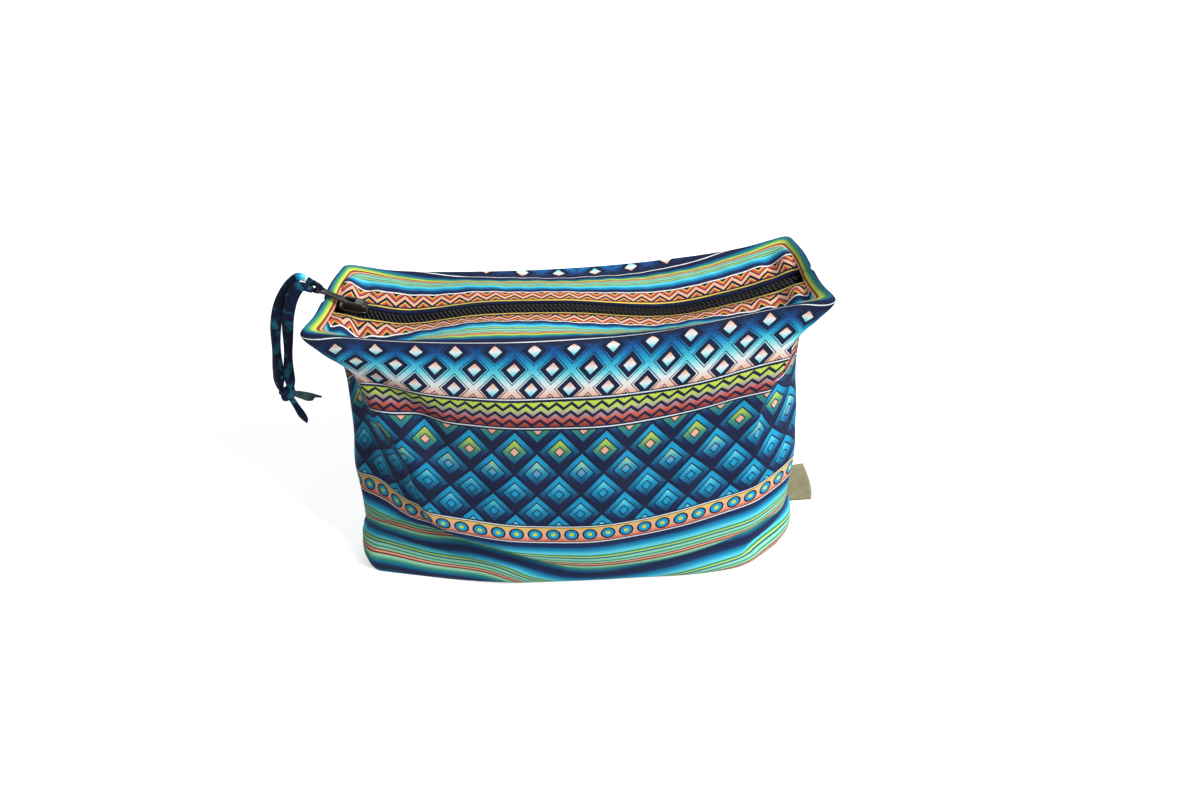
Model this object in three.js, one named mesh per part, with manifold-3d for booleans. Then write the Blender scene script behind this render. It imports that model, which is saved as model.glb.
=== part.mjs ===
import * as THREE from "three";
import { mergeVertices } from "three/addons/utils/BufferGeometryUtils.js";
import Module from "manifold-3d";

// A zipped cloth pouch with boxed corners, standing on its base.
// Millimetres. +X runs along the zip, +Y to the back and +Z up; the floor is z = 0.

// Middle of the outline on the floor, which becomes the origin
const CENTRE_X = -1.3;
const CENTRE_Y = -3.35;

// Cloth shell
const WALL = 1.2; // thickness of the coated cloth
const GAP = 0.3; // clearance between neighbouring pieces
const LEAN = -7; // how far the base stands to the left of the rim
const FLOOR = 168; // cloth length from the rim down to the floor

// Zip
const SLOT = 7.6; // distance between the two cloth edges
const TAPE = 0.6; // thickness of a zip tape
const CHAIN_HALF = 2.9; // half the width of the closed teeth
const CHAIN_TOP = 0.1; // top of the teeth above the cloth edge
const CHAIN_DEEP = 2.6; // bottom of the teeth below the cloth edge
const TOOTH_PITCH = 2.6; // from one tooth of a row to the next
const TOOTH_REACH = 1.0; // how far a tooth passes the middle line
const CHAIN_LEFT = -94; // the teeth end inside the slider's mouth
const CHAIN_RIGHT = 102;

// Slider and puller
const SLIDER_X = -97.4;
const SLIDER_LONG = 12.6;
const SLIDER_WIDE = 8.2;
const PLATE = 1.3;
const PLATE_RISE = 0.9; // underside of the top plate above the cloth edge
const PLATE_DROP = 3.1; // upper side of the lower plate below the cloth edge
const HOOD_WIDE = 5.6;
const HOOD_HIGH = 3.2; // above the top plate
const HOOD_WALL = 1.4; // beside the notch for the puller
const PIN = 1.0; // diameter of the puller's pin
const PIN_X = -1.5; // from the middle of the slider
const PIN_RISE = 1.15; // above the top plate
const PULLER_THICK = 1.3;
const PULLER_WIDE = 3.2;
const PULLER_LONG = 16.6; // from its pin to its tip
const PULLER_CHANNEL = 0.3; // depth of the channel along both faces
const PULLER_ANGLE = THREE.MathUtils.degToRad(35); // rise over the end of the pouch
const EYE_AT = 14.2; // along the puller
const EYE_RADIUS = 1.3;

// Strap through the puller's eye
const STRAND = 4.6; // diameter of one gathered strand
const BIGHT = 1.8; // diameter where the strap is squeezed through the eye
const KNOT = { x: -138.6, y: 0, z: 108.6, wide: 8, deep: 7.4, high: 7.6 };

// Label in the right side seam
const LABEL_THICK = 1.0;
const LABEL_TOP_OUT = 7.5; // how far its upper and lower corners stand out
const LABEL_LOW_OUT = 11;

const table = (columns, rows) =>
  rows.map((row) => Object.fromEntries(columns.map((name, i) => [name, row[i]])));

// Each row is a section of the wall, `down` being the cloth length below the rim.
// x is counted outwards from the middle, y outwards from the plane of the side seams.
const SIDE_SEAM = table(
  ["down", "x", "z"],
  [
    [0, 104.5, 155],
    [4, 107.5, 160],
    [8, 109.5, 159],
    [18, 110, 149.5],
    [32, 107.5, 135.5],
    [55, 106.5, 113.5],
    [85, 109, 84],
    [115, 112, 55],
    [135, 112, 35],
    [146, 112.5, 24],
    [156, 116, 14],
    [162, 116.5, 6],
    [168, 111, 0],
  ],
);
const CORNER_COLUMNS = ["down", "cornerX", "cornerY", "cornerZ", "foldX", "foldY", "foldZ"];
const FRONT_LEFT = table(CORNER_COLUMNS, [
  [0, 105.5, 24, 158.5, 84, 25, 152.5],
  [4, 112.5, 29, 162.5, 84, 28.2, 153.5],
  [8, 114, 30, 160, 86, 29.2, 151],
  [18, 109, 27, 150.5, 96, 29.5, 142.5],
  [32, 102.5, 15, 137, 93, 28.8, 129],
  [45, 100, 9.5, 125, 91.5, 27, 117],
  [55, 99, 8, 115, 90, 26, 108],
  [70, 98, 8, 100, 87, 26, 92],
  [85, 98, 9, 85, 81.5, 28, 77],
  [100, 97.5, 11, 70, 79, 29, 62.5],
  [115, 98, 14, 55, 74, 30.5, 48],
  [125, 98.5, 17, 44, 64, 32.5, 37],
  [135, 99, 19, 33, 50, 34.5, 25.5],
  [141, 100, 18, 27, 43, 35.5, 18],
  [146, 100, 14, 22, 40, 36, 13],
  [152, 103, 14.5, 16.5, 41, 36.5, 9],
  [160, 110, 20, 8, 44, 36.5, 4.5],
  [168, 108, 19, 0, 46, 33, 0],
]);
const FRONT_MIDDLE = table(
  ["down", "x", "y", "z"],
  [
    [0, 14, 25.5, 143],
    [4, 14, 28.5, 142.5],
    [8, 14, 29.5, 139.5],
    [18, 12, 31, 130.5],
    [32, 9, 33, 118],
    [55, 6, 36, 96],
    [85, 3, 39.5, 68],
    [115, 1, 41.5, 40],
    [135, 0, 41.5, 21.5],
    [146, 0, 40.5, 12],
    [160, 0, 38, 3.5],
    [168, 0, 34, 0],
  ],
);
const FRONT_RIGHT = table(CORNER_COLUMNS, [
  [0, 105.5, 24, 158.5, 80, 25, 154.5],
  [4, 112.5, 29, 162, 80, 28.2, 155.5],
  [8, 114, 30, 159.5, 82, 29.2, 152.5],
  [18, 109, 27, 150, 93, 29.5, 143],
  [32, 104, 16, 136.5, 95, 29, 129.5],
  [55, 104, 13, 114.5, 90, 28.5, 106],
  [85, 108.5, 15, 84.5, 86, 31, 76],
  [115, 108.5, 18, 54.5, 82, 34.5, 47],
  [135, 105, 21, 32, 79, 37.5, 25],
  [146, 104, 20, 21.5, 77, 38.5, 13.5],
  [152, 103, 20, 16, 79, 39, 9.5],
  [160, 105, 24, 8, 82, 39.5, 5],
  [168, 101, 21.5, 0, 82, 36, 0],
]);
const BACK_END = table(CORNER_COLUMNS, [
  [0, 99.5, 22, 159, 76, 22.5, 154],
  [4, 102.5, 25.5, 162, 76, 25.5, 155],
  [8, 104.5, 27, 159.5, 78, 27, 152.5],
  [18, 105, 26, 150, 80, 28, 143.5],
  [32, 104, 22, 136, 80, 29, 130],
  [55, 103, 19, 114, 78, 30, 108],
  [85, 103, 19, 84.5, 76, 31, 79],
  [115, 104, 21, 54.5, 76, 32, 50],
  [135, 106, 23, 33, 78, 32.5, 29],
  [146, 108, 24, 22, 80, 32.5, 19],
  [160, 110, 26, 8, 84, 31, 6.5],
  [168, 106, 23, 0, 82, 28, 0],
]);
const BACK_MIDDLE = table(
  ["down", "x", "y", "z"],
  [
    [0, 5, 23, 150],
    [4, 5, 26, 150.5],
    [8, 5, 27.5, 148],
    [18, 4, 29, 138.5],
    [55, 2, 32, 104],
    [115, 0, 34, 46],
    [146, 0, 33, 17],
    [160, 0, 31.5, 5],
    [168, 0, 28, 0],
  ],
);
// How round a section is at its corners and folds: 0 is a sharp crease, 1 a full arc.
const ROUNDNESS = table(
  ["down", "corner", "fold"],
  [
    [0, 0.35, 0.9],
    [8, 0.35, 0.9],
    [20, 0.6, 0.5],
    [45, 1, 0.4],
    [60, 1, 0.3],
    [100, 1, 0.35],
    [120, 1, 0.8],
    [146, 0.7, 0.9],
    [168, 0.45, 0.9],
  ],
);
// Height of the cloth edges at the zip, which dips and rises along the slack top.
const ZIP_WAVE = table(
  ["x", "z"],
  [
    [-104.5, 155],
    [-92, 151],
    [-72, 146.5],
    [-38, 149],
    [-5, 147.5],
    [45, 141.5],
    [75, 146],
    [104.5, 155],
  ],
);
// Soft folds of the top: a centre, its half lengths along and across the zip, and the lift.
const TOP_FOLDS = table(
  ["x", "y", "along", "across", "lift"],
  [
    [-88, -19, 20, 6, -8.5],
    [86, -19, 24, 6, -7.5],
    [-30, -15, 26, 7, 1.8],
    [34, -15, 30, 7, -2],
    [-60, 14, 40, 7, 2.2],
    [40, 14, 50, 7, 2.5],
  ],
);
// Route of the strap's two strands, from the puller's eye over the end of the pouch to the knot.
const STRAND_ROUTE = table(
  ["outerX", "outerY", "outerZ", "innerX", "innerY", "innerZ"],
  [
    [-113.3, 2.5, 167, -113.3, -2.5, 166.6],
    [-115.6, 2.5, 169, -115.6, -2.5, 168],
    [-118.3, 2.5, 170.3, -118.2, -2.5, 167.6],
    [-122.1, 2.4, 167.5, -121.3, -2.4, 163.6],
    [-126.4, 1.8, 162.7, -124.2, -1.8, 157.9],
    [-130, 1, 157, -126.6, -1, 152],
    [-132.9, 0.3, 150, -128.7, -0.3, 145],
    [-135.3, 0, 141.8, -130.6, 0, 137.5],
    [-137.8, 0, 130.2, -132.9, 0, 128.6],
    [-139.6, 0, 121, -134.9, 0, 120],
    [-141.1, 0, 112.6, -136.2, 0, 112.6],
  ],
);
// Rows of cloth facets down the wall, closer together where it folds.
const WALL_ROWS = [0, 2, 4, 8, 18, 30, 44, 62, 84, 106, 124, 134, 141, 146, 152, 160, 165, 168];
const SIDE_STEPS = 4; // facets from a corner of the rim to the zip
const FOLD_STEPS = 5; // from a corner to the front fold
const MIDDLE_STEPS = 6; // from the fold to the middle

// Value of a column at a place between rows: a smooth curve that never overshoots its rows.
function along(rows, key, name, at) {
  const last = rows.length - 1;
  const place = Math.min(Math.max(at, rows[0][key]), rows[last][key]);
  let i = 0;
  while (i < last - 1 && place > rows[i + 1][key]) i += 1;
  const rise = (j) => (rows[j + 1][name] - rows[j][name]) / (rows[j + 1][key] - rows[j][key]);
  const slope = (j) => {
    if (j === 0 || j === last) return rise(Math.min(j, last - 1));
    const before = rise(j - 1);
    const after = rise(j);
    return before * after > 0 ? (2 * before * after) / (before + after) : 0;
  };
  const span = rows[i + 1][key] - rows[i][key];
  const t = (place - rows[i][key]) / span;
  const a = rows[i][name];
  const b = rows[i + 1][name];
  const ease = t * t * (3 - 2 * t);
  const bend = t * (1 - t) * ((1 - t) * slope(i) - t * slope(i + 1)) * span;
  return a + (b - a) * ease + bend;
}

// Point of a polyline whose inner corners are replaced by arcs; u counts its points.
function roundedPoint(points, rounding, u) {
  const near = Math.min(Math.max(Math.round(u), 1), points.length - 2);
  const half = rounding[near] / 2;
  if (half > 0 && Math.abs(u - near) <= half) {
    const start = points[near].clone().lerp(points[near - 1], half);
    const end = points[near].clone().lerp(points[near + 1], half);
    const arc = new THREE.QuadraticBezierCurve3(start, points[near], end);
    return arc.getPoint((u - near + half) / (2 * half));
  }
  const first = Math.min(Math.floor(u), points.length - 2);
  return points[first].clone().lerp(points[first + 1], u - first);
}

// One half section of the wall, from the left side seam round the panel to the right one.
// Its points are seam 0, side 1, corner 2, fold 3, middle 4, fold 5, corner 6, side 7 and seam 8.
function sectionPoint(panel, down, u) {
  const shift = LEAN * (down / FLOOR);
  const read = (rows, name) => along(rows, "down", name, down);
  const seam = { x: read(SIDE_SEAM, "x"), z: read(SIDE_SEAM, "z") };
  const end = (rows, hand) => {
    const corner = new THREE.Vector3(
      hand * read(rows, "cornerX") + shift, panel.sign * read(rows, "cornerY"), read(rows, "cornerZ"));
    const fold = new THREE.Vector3(
      hand * read(rows, "foldX") + shift, panel.sign * read(rows, "foldY"), read(rows, "foldZ"));
    const edge = new THREE.Vector3(hand * seam.x + shift, panel.sign * GAP / 2, seam.z);
    const side = edge.clone().lerp(corner, 0.5);
    side.x = THREE.MathUtils.lerp(edge.x, corner.x, 0.2);
    return [edge, side, corner, fold];
  };
  const middle = new THREE.Vector3(
    read(panel.middle, "x") + shift, panel.sign * read(panel.middle, "y"), read(panel.middle, "z"));
  const points = [...end(panel.left, -1), middle, ...end(panel.right, 1).reverse()];
  const corner = read(ROUNDNESS, "corner");
  const fold = panel.sign < 0 ? read(ROUNDNESS, "fold") : 0.9;
  return roundedPoint(points, [0, 0.8, corner, fold, 1, fold, corner, 0.8, 0], u);
}

const zipHeight = (x) => along(ZIP_WAVE, "x", "z", x);

function topLift(x, y) {
  let lift = 0;
  for (const fold of TOP_FOLDS) {
    const far = ((x - fold.x) / fold.along) ** 2 + ((y - fold.y) / fold.across) ** 2;
    lift += fold.lift * Math.exp(-far);
  }
  return lift;
}

const steps = (from, to, count) =>
  Array.from({ length: count }, (_, i) => from + ((to - from) * (i + 1)) / count);

// Outer surface of one panel as vertices and quads: wall, half of the top and half of the base.
function panelSurface(panel) {
  const vertices = [];
  const quads = [];
  const add = (point) => vertices.push(point) - 1;
  const sideY = Math.abs(sectionPoint(panel, 0, 0.5).y) * 2;
  const zipU = SLOT / 2 / sideY;
  const half = [
    0, zipU, ...steps(zipU, 2, SIDE_STEPS), ...steps(2, 3, FOLD_STEPS), ...steps(3, 4, MIDDLE_STEPS)];
  const columns = [...half, ...half.slice(0, -1).reverse().map((u) => 8 - u)];
  const last = columns.length - 1;
  const cornerColumn = SIDE_STEPS + 1;
  const wall = WALL_ROWS.map((down) => columns.map((u) => add(sectionPoint(panel, down, u))));
  for (let r = 0; r + 1 < wall.length; r += 1) {
    for (let c = 0; c < last; c += 1) {
      quads.push([wall[r][c], wall[r][c + 1], wall[r + 1][c + 1], wall[r + 1][c]]);
    }
  }
  // A patch spans the front edge of a section, from corner to corner, and a straight inner edge.
  const patch = (ring, rows, inner, lift) => {
    const front = ring.slice(cornerColumn, last - cornerColumn + 1);
    const count = front.length - 1;
    const left = ring.slice(cornerColumn - rows, cornerColumn + 1).reverse();
    const right = ring.slice(last - cornerColumn, last - cornerColumn + rows + 1);
    const ends = [vertices[left[rows]], vertices[right[rows]]];
    const corners = [vertices[front[0]], vertices[front[count]]];
    const grid = [front];
    for (let k = 1; k <= rows; k += 1) {
      const q = k / rows;
      const row = [left[k]];
      for (let j = 1; j < count; j += 1) {
        const edge = vertices[front[j]];
        const p = (edge.x - corners[0].x) / (corners[1].x - corners[0].x);
        const target = inner(THREE.MathUtils.lerp(ends[0].x, ends[1].x, p));
        const point = edge.clone().lerp(target, q);
        const leftMiss = vertices[left[k]].clone().sub(corners[0].clone().lerp(ends[0], q));
        const rightMiss = vertices[right[k]].clone().sub(corners[1].clone().lerp(ends[1], q));
        point.addScaledVector(leftMiss, 1 - p).addScaledVector(rightMiss, p);
        point.z += lift(point, q);
        row.push(add(point));
      }
      row.push(right[k]);
      grid.push(row);
    }
    return grid;
  };
  const zipEdge = (x) => new THREE.Vector3(x, panel.sign * SLOT / 2, zipHeight(x));
  const folds = (point, q) => topLift(point.x, point.y) * Math.sin(Math.PI * q);
  const top = patch(wall[0], SIDE_STEPS, zipEdge, folds);
  const baseEdge = (x) => new THREE.Vector3(x, panel.sign * GAP / 2, 0);
  const base = patch(wall[wall.length - 1], SIDE_STEPS + 1, baseEdge, () => 0);
  for (const [grid, turn] of [[top, true], [base, false]]) {
    for (let k = 0; k + 1 < grid.length; k += 1) {
      for (let j = 0; j + 1 < grid[k].length; j += 1) {
        const quad = [grid[k][j], grid[k][j + 1], grid[k + 1][j + 1], grid[k + 1][j]];
        quads.push(turn ? quad.reverse() : quad);
      }
    }
  }
  const seams = new Set([...wall.map((row) => row[0]), ...wall.map((row) => row[last]), ...base.at(-1)]);
  return { vertices, quads, seams, top };
}

const trianglesOf = (quads) => quads.flatMap(([a, b, c, d]) => [[a, b, c], [a, c, d]]);

function normalsOf(vertices, triangles) {
  const normals = vertices.map(() => new THREE.Vector3());
  for (const [a, b, c] of triangles) {
    const ab = vertices[b].clone().sub(vertices[a]);
    const ac = vertices[c].clone().sub(vertices[a]);
    const face = ab.cross(ac);
    for (const i of [a, b, c]) normals[i].add(face);
  }
  return normals.map((normal) => normal.normalize());
}

function geometryOf(vertices, triangles) {
  const geometry = new THREE.BufferGeometry();
  const numbers = vertices.flatMap((v) => [v.x, v.y, v.z]);
  geometry.setAttribute("position", new THREE.Float32BufferAttribute(numbers, 3));
  geometry.setIndex(triangles.flat());
  return geometry;
}

// Closed cloth wall: the outer surface, the same surface moved inwards, and the strip round the edge.
function shell(surface, thickness, outward) {
  const outer = trianglesOf(surface.quads).map(([a, b, c]) => (outward ? [a, b, c] : [a, c, b]));
  const normals = normalsOf(surface.vertices, outer);
  for (const i of surface.seams) normals[i].setY(0).normalize();
  const count = surface.vertices.length;
  const inner = surface.vertices.map((v, i) => v.clone().addScaledVector(normals[i], -thickness));
  const edges = new Set(outer.flatMap(([a, b, c]) => [`${a} ${b}`, `${b} ${c}`, `${c} ${a}`]));
  const rim = [];
  for (const edge of edges) {
    const [a, b] = edge.split(" ").map(Number);
    if (!edges.has(`${b} ${a}`)) rim.push([b, a, a + count], [b, a + count, b + count]);
  }
  const inside = outer.map(([a, b, c]) => [a + count, c + count, b + count]);
  return {
    geometry: geometryOf([...surface.vertices, ...inner], [...outer, ...inside, ...rim]),
    normals,
  };
}

// Solid bar whose section, a ring of points, changes from station to station along it.
function bar(sections) {
  const size = sections[0].length;
  const triangles = [];
  for (let s = 0; s + 1 < sections.length; s += 1) {
    for (let i = 0; i < size; i += 1) {
      const a = s * size + i;
      const b = s * size + ((i + 1) % size);
      triangles.push([a, b, b + size], [a, b + size, a + size]);
    }
  }
  const far = (sections.length - 1) * size;
  for (let i = 1; i + 1 < size; i += 1) {
    triangles.push([0, i + 1, i], [far, far + i, far + i + 1]);
  }
  return geometryOf(sections.flat(), triangles);
}

// Zip tape under a panel's cloth edge, from half way to the rim up to the teeth.
function tape(panel, surface, normals) {
  const rows = surface.top.slice(2);
  const sections = [];
  for (let j = 1; j + 1 < rows[0].length; j += 1) {
    const upper = rows.map((row) =>
      surface.vertices[row[j]].clone().addScaledVector(normals[row[j]], -WALL - GAP));
    const inner = upper.at(-1).clone().setY(panel.sign * (CHAIN_HALF + GAP));
    upper.push(inner);
    const lower = upper.map((point) => point.clone().add(new THREE.Vector3(0, 0, -TAPE)));
    const section = [...upper, ...lower.reverse()];
    sections.push(panel.sign < 0 ? section.reverse() : section);
  }
  return bar(sections);
}

// One row of teeth: its inner side zigzags along the middle line, the other row half a gap away.
function teeth(panel) {
  const sections = [];
  const count = Math.round((CHAIN_RIGHT - CHAIN_LEFT) / (TOOTH_PITCH / 2));
  for (let i = 0; i <= count; i += 1) {
    const x = CHAIN_LEFT + (i * TOOTH_PITCH) / 2;
    const swing = i % 2 === 0 ? TOOTH_REACH : -TOOTH_REACH;
    const inner = swing + panel.sign * 0.6 * GAP;
    const outer = panel.sign * CHAIN_HALF;
    const top = zipHeight(x) + CHAIN_TOP;
    const low = zipHeight(x) - CHAIN_DEEP;
    const section = [
      new THREE.Vector3(x, outer, top), new THREE.Vector3(x, inner, top),
      new THREE.Vector3(x, inner, low), new THREE.Vector3(x, outer, low)];
    sections.push(panel.sign < 0 ? section.reverse() : section);
  }
  return bar(sections);
}

const wasm = await Module();
wasm.setup();

function solidOf(geometry) {
  const plain = geometry.clone();
  plain.deleteAttribute("normal");
  plain.deleteAttribute("uv");
  const merged = mergeVertices(plain, 1e-4);
  const vertProperties = new Float32Array(merged.attributes.position.array);
  const triVerts = new Uint32Array(merged.index.array);
  return new wasm.Manifold(new wasm.Mesh({ numProp: 3, vertProperties, triVerts }));
}

// One geometry from solids that are joined and others that are cut out of them.
function joined(geometries, cuts = []) {
  let solid = geometries.map(solidOf).reduce((sum, next) => sum.add(next));
  for (const cut of cuts) solid = solid.subtract(solidOf(cut));
  const mesh = solid.getMesh();
  const geometry = new THREE.BufferGeometry();
  geometry.setAttribute("position", new THREE.BufferAttribute(new Float32Array(mesh.vertProperties), 3));
  geometry.setIndex(new THREE.BufferAttribute(new Uint32Array(mesh.triVerts), 1));
  return geometry;
}

function circle(radius, sides) {
  const points = [];
  for (let i = 0; i < sides; i += 1) {
    const angle = (2 * Math.PI * i) / sides;
    points.push(new THREE.Vector2(radius * Math.cos(angle), radius * Math.sin(angle)));
  }
  return points;
}

// Outline of half-width stations along X, mirrored in Y, drawn as a flat plate around z = 0.
function plate(stations, thickness, holes = []) {
  const upper = stations.map(([x, half]) => new THREE.Vector2(x, half));
  const lower = stations.map(([x, half]) => new THREE.Vector2(x, -half)).reverse();
  const outline = new THREE.Shape([...lower, ...upper]);
  outline.holes.push(...holes);
  const geometry = new THREE.ExtrudeGeometry(outline, { depth: thickness, bevelEnabled: false });
  return geometry.translate(0, 0, -thickness / 2);
}

const pinAcross = (diameter, length) => new THREE.CylinderGeometry(diameter / 2, diameter / 2, length, 10);

// Slider: two plates joined by a post at the nose, with a rounded hood on top.
// A notch in the nose end of the hood takes the puller, and holes in its walls the pin.
function slider() {
  const nose = -SLIDER_LONG / 2;
  const tail = SLIDER_LONG / 2;
  const wide = SLIDER_WIDE / 2;
  const outline = [[nose, 0.55 * wide], [nose + 2, wide], [1, wide], [tail, 0.8 * wide]];
  const upper = plate(outline, PLATE).translate(0, 0, PLATE_RISE + PLATE / 2);
  const lower = plate(outline.map(([x, half]) => [x, 0.86 * half]), PLATE);
  lower.translate(0, 0, -PLATE_DROP - PLATE / 2);
  const postHigh = PLATE_RISE + PLATE_DROP + PLATE;
  const post = new THREE.BoxGeometry(2.4, 2.2, postHigh);
  post.translate(nose + 1.6, 0, (PLATE_RISE - PLATE_DROP) / 2);
  const plateTop = PLATE_RISE + PLATE;
  const [start, end] = [nose + 1.4, tail - 0.4];
  const profile = new THREE.Shape();
  profile.moveTo(start, -0.4);
  profile.lineTo(start, HOOD_HIGH - 1.4);
  profile.quadraticCurveTo(start, HOOD_HIGH, start + 2.2, HOOD_HIGH);
  profile.lineTo(end - 3.4, HOOD_HIGH);
  profile.quadraticCurveTo(end, HOOD_HIGH, end, HOOD_HIGH - 2.4);
  profile.lineTo(end, -0.4);
  const hoodForm = { depth: HOOD_WIDE, bevelEnabled: false, curveSegments: 5 };
  const hood = new THREE.ExtrudeGeometry(profile, hoodForm);
  hood.rotateX(Math.PI / 2).translate(0, HOOD_WIDE / 2, plateTop);
  const notchEnd = PIN_X + PIN / 2 + 1;
  const notchLong = notchEnd - nose;
  const notchHigh = HOOD_HIGH + 1;
  const notch = new THREE.BoxGeometry(notchLong, HOOD_WIDE - 2 * HOOD_WALL, notchHigh);
  notch.translate(notchEnd - notchLong / 2, 0, plateTop + notchHigh / 2);
  const holes = pinAcross(PIN + 2 * GAP, HOOD_WIDE - 0.6).translate(PIN_X, 0, plateTop + PIN_RISE);
  return joined([upper, lower, post, hood], [notch, holes]);
}

// Puller: a narrow bar with a pin in the hood, a channel along both faces and an eye at its tip.
function puller() {
  const neck = HOOD_WIDE / 2 - HOOD_WALL - GAP;
  const wide = PULLER_WIDE / 2;
  const head = EYE_RADIUS + 0.9;
  const barStart = 4.6;
  const barEnd = EYE_AT - 2.4;
  const outline = [
    [-PIN / 2 - 0.3, neck], [barStart - 0.9, neck], [barStart, wide], [barEnd, wide],
    [EYE_AT - 1, head], [EYE_AT + 1.2, head], [PULLER_LONG, 0.5 * head]];
  const eye = new THREE.Path(circle(EYE_RADIUS, 12).map((point) => point.setX(point.x + EYE_AT)));
  const bar = plate(outline, PULLER_THICK, [eye]);
  const pin = pinAcross(PIN, HOOD_WIDE - 0.6 - 2 * GAP);
  const channels = [-1, 1].map((face) => {
    const channel = new THREE.BoxGeometry(barEnd - barStart - 0.8, wide, 2 * PULLER_CHANNEL);
    return channel.translate((barStart + barEnd) / 2, 0, (face * PULLER_THICK) / 2);
  });
  return joined([bar, pin], channels);
}

function tube(points, diameter, count, sides) {
  const extrudePath = new THREE.CatmullRomCurve3(points);
  const section = new THREE.Shape(circle(diameter / 2, sides));
  return new THREE.ExtrudeGeometry(section, { steps: count, extrudePath, bevelEnabled: false });
}

const material = (color, roughness, metalness) =>
  new THREE.MeshStandardMaterial({ color, roughness, metalness });
const clothMaterial = (color) => material(color, 0.75, 0);
const blackMaterial = () => material(0x111114, 0.4, 0.3);

const pouch = new THREE.Group();
pouch.position.set(-CENTRE_X, -CENTRE_Y, 0);
function place(name, geometry, finish, parent = pouch) {
  const mesh = new THREE.Mesh(geometry, finish);
  mesh.name = name;
  parent.add(mesh);
  return mesh;
}

// Shell and zip
const FRONT = { name: "front", sign: -1, left: FRONT_LEFT, right: FRONT_RIGHT, middle: FRONT_MIDDLE };
const BACK = { name: "back", sign: 1, left: BACK_END, right: BACK_END, middle: BACK_MIDDLE };
for (const panel of [FRONT, BACK]) {
  const surface = panelSurface(panel);
  const cloth = shell(surface, WALL, panel.sign > 0);
  place(`${panel.name}_panel`, cloth.geometry, clothMaterial(0x2a6f9a));
  place(`zip_tape_${panel.name}`, tape(panel, surface, cloth.normals), clothMaterial(0x15172a));
  place(`zip_teeth_${panel.name}`, teeth(panel), blackMaterial());
}

// Slider and puller stand in a group that follows the slope of the zip.
const slope = Math.atan((zipHeight(SLIDER_X + 4) - zipHeight(SLIDER_X - 4)) / 8);
const runner = new THREE.Group();
runner.position.set(SLIDER_X, 0, zipHeight(SLIDER_X));
runner.rotation.y = -slope;
pouch.add(runner);
place("zip_slider", slider(), blackMaterial(), runner);
const hanger = new THREE.Group();
hanger.position.set(PIN_X, 0, PLATE_RISE + PLATE + PIN_RISE);
hanger.rotation.y = Math.PI + PULLER_ANGLE + slope;
runner.add(hanger);
place("zip_puller", puller(), blackMaterial(), hanger);

// Bight of the strap in the puller's eye, in the puller's own frame.
const tuck = PULLER_THICK / 2 + BIGHT / 2 + 0.65;
const upperHalf = [[PULLER_LONG + 1.6, tuck], [EYE_AT + 1.9, tuck], [EYE_AT + 0.2, 1.35]];
const lowerHalf = upperHalf.map(([x, z]) => [x, -z]).reverse();
const bightRoute = [...upperHalf, [EYE_AT, 0], ...lowerHalf].map(([x, z]) => new THREE.Vector3(x, 0, z));
place("pull_bight", tube(bightRoute, BIGHT, 14, 8), clothMaterial(0x16204a), hanger);

// Hanging strands, knot and tails
for (const hand of ["outer", "inner"]) {
  const points = STRAND_ROUTE.map((row) =>
    new THREE.Vector3(row[`${hand}X`], row[`${hand}Y`], row[`${hand}Z`]));
  place(`pull_strand_${hand}`, tube(points, STRAND, 20, 8), clothMaterial(0x1c3a6a));
}
const knot = new THREE.SphereGeometry(0.5, 12, 8).scale(KNOT.wide, KNOT.deep, KNOT.high);
place("pull_knot", knot, clothMaterial(0x1c3a6a)).position.set(KNOT.x, KNOT.y, KNOT.z);

function tail(name, length, near, middle, far, angle) {
  const reach = Math.min(KNOT.wide, KNOT.high) / 2 + GAP;
  const outline = [[reach, near / 2], [reach + 0.6 * length, middle / 2], [reach + length, far / 2]];
  const mesh = place(name, plate(outline, 2.2).rotateX(Math.PI / 2), clothMaterial(0x1c3a6a));
  mesh.position.set(KNOT.x, KNOT.y, KNOT.z);
  mesh.rotation.y = angle;
}
tail("pull_tail_side", 11.8, 2.6, 6.5, 1.6, THREE.MathUtils.degToRad(18));
tail("pull_tail_down", 15, 2.6, 3.6, 4.2, THREE.MathUtils.degToRad(75));

// Folded label standing out of the right side seam
const seamPoints = [131, 136, 141, 146, 151, 156].map((down) => sectionPoint(FRONT, down, 8));
const labelShape = new THREE.Shape();
seamPoints.forEach((point, i) => {
  const x = point.x + 2 * GAP;
  if (i === 0) labelShape.moveTo(x, point.z);
  else labelShape.lineTo(x, point.z);
});
const labelTop = seamPoints[0];
const labelLow = seamPoints.at(-1);
labelShape.lineTo(labelLow.x + LABEL_LOW_OUT, labelLow.z + 0.5);
labelShape.quadraticCurveTo(
  labelLow.x + LABEL_LOW_OUT, labelLow.z + 12, labelTop.x + LABEL_TOP_OUT, labelTop.z + 1.5);
const labelForm = { depth: LABEL_THICK, bevelEnabled: false, curveSegments: 5 };
const label = new THREE.ExtrudeGeometry(labelShape, labelForm);
label.rotateX(Math.PI / 2).translate(0, LABEL_THICK / 2, 0);
place("side_label", label, clothMaterial(0xb8a888));

export default pouch;
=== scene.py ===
# %% [markdown]
# A zipped cloth pouch
#
# The pouch is a soft bag of printed swim cloth with boxed corners, a black zip along
# the top, a knotted strap on the zip's puller and a small folded label in one side
# seam. The solid model gives the exact frame. This script dresses it: every soft solid
# is replaced by a finer cloth surface, and every visible surface gets its own finish.

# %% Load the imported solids
import math

import bpy
import numpy as np
from mathutils import Matrix, Vector


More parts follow.
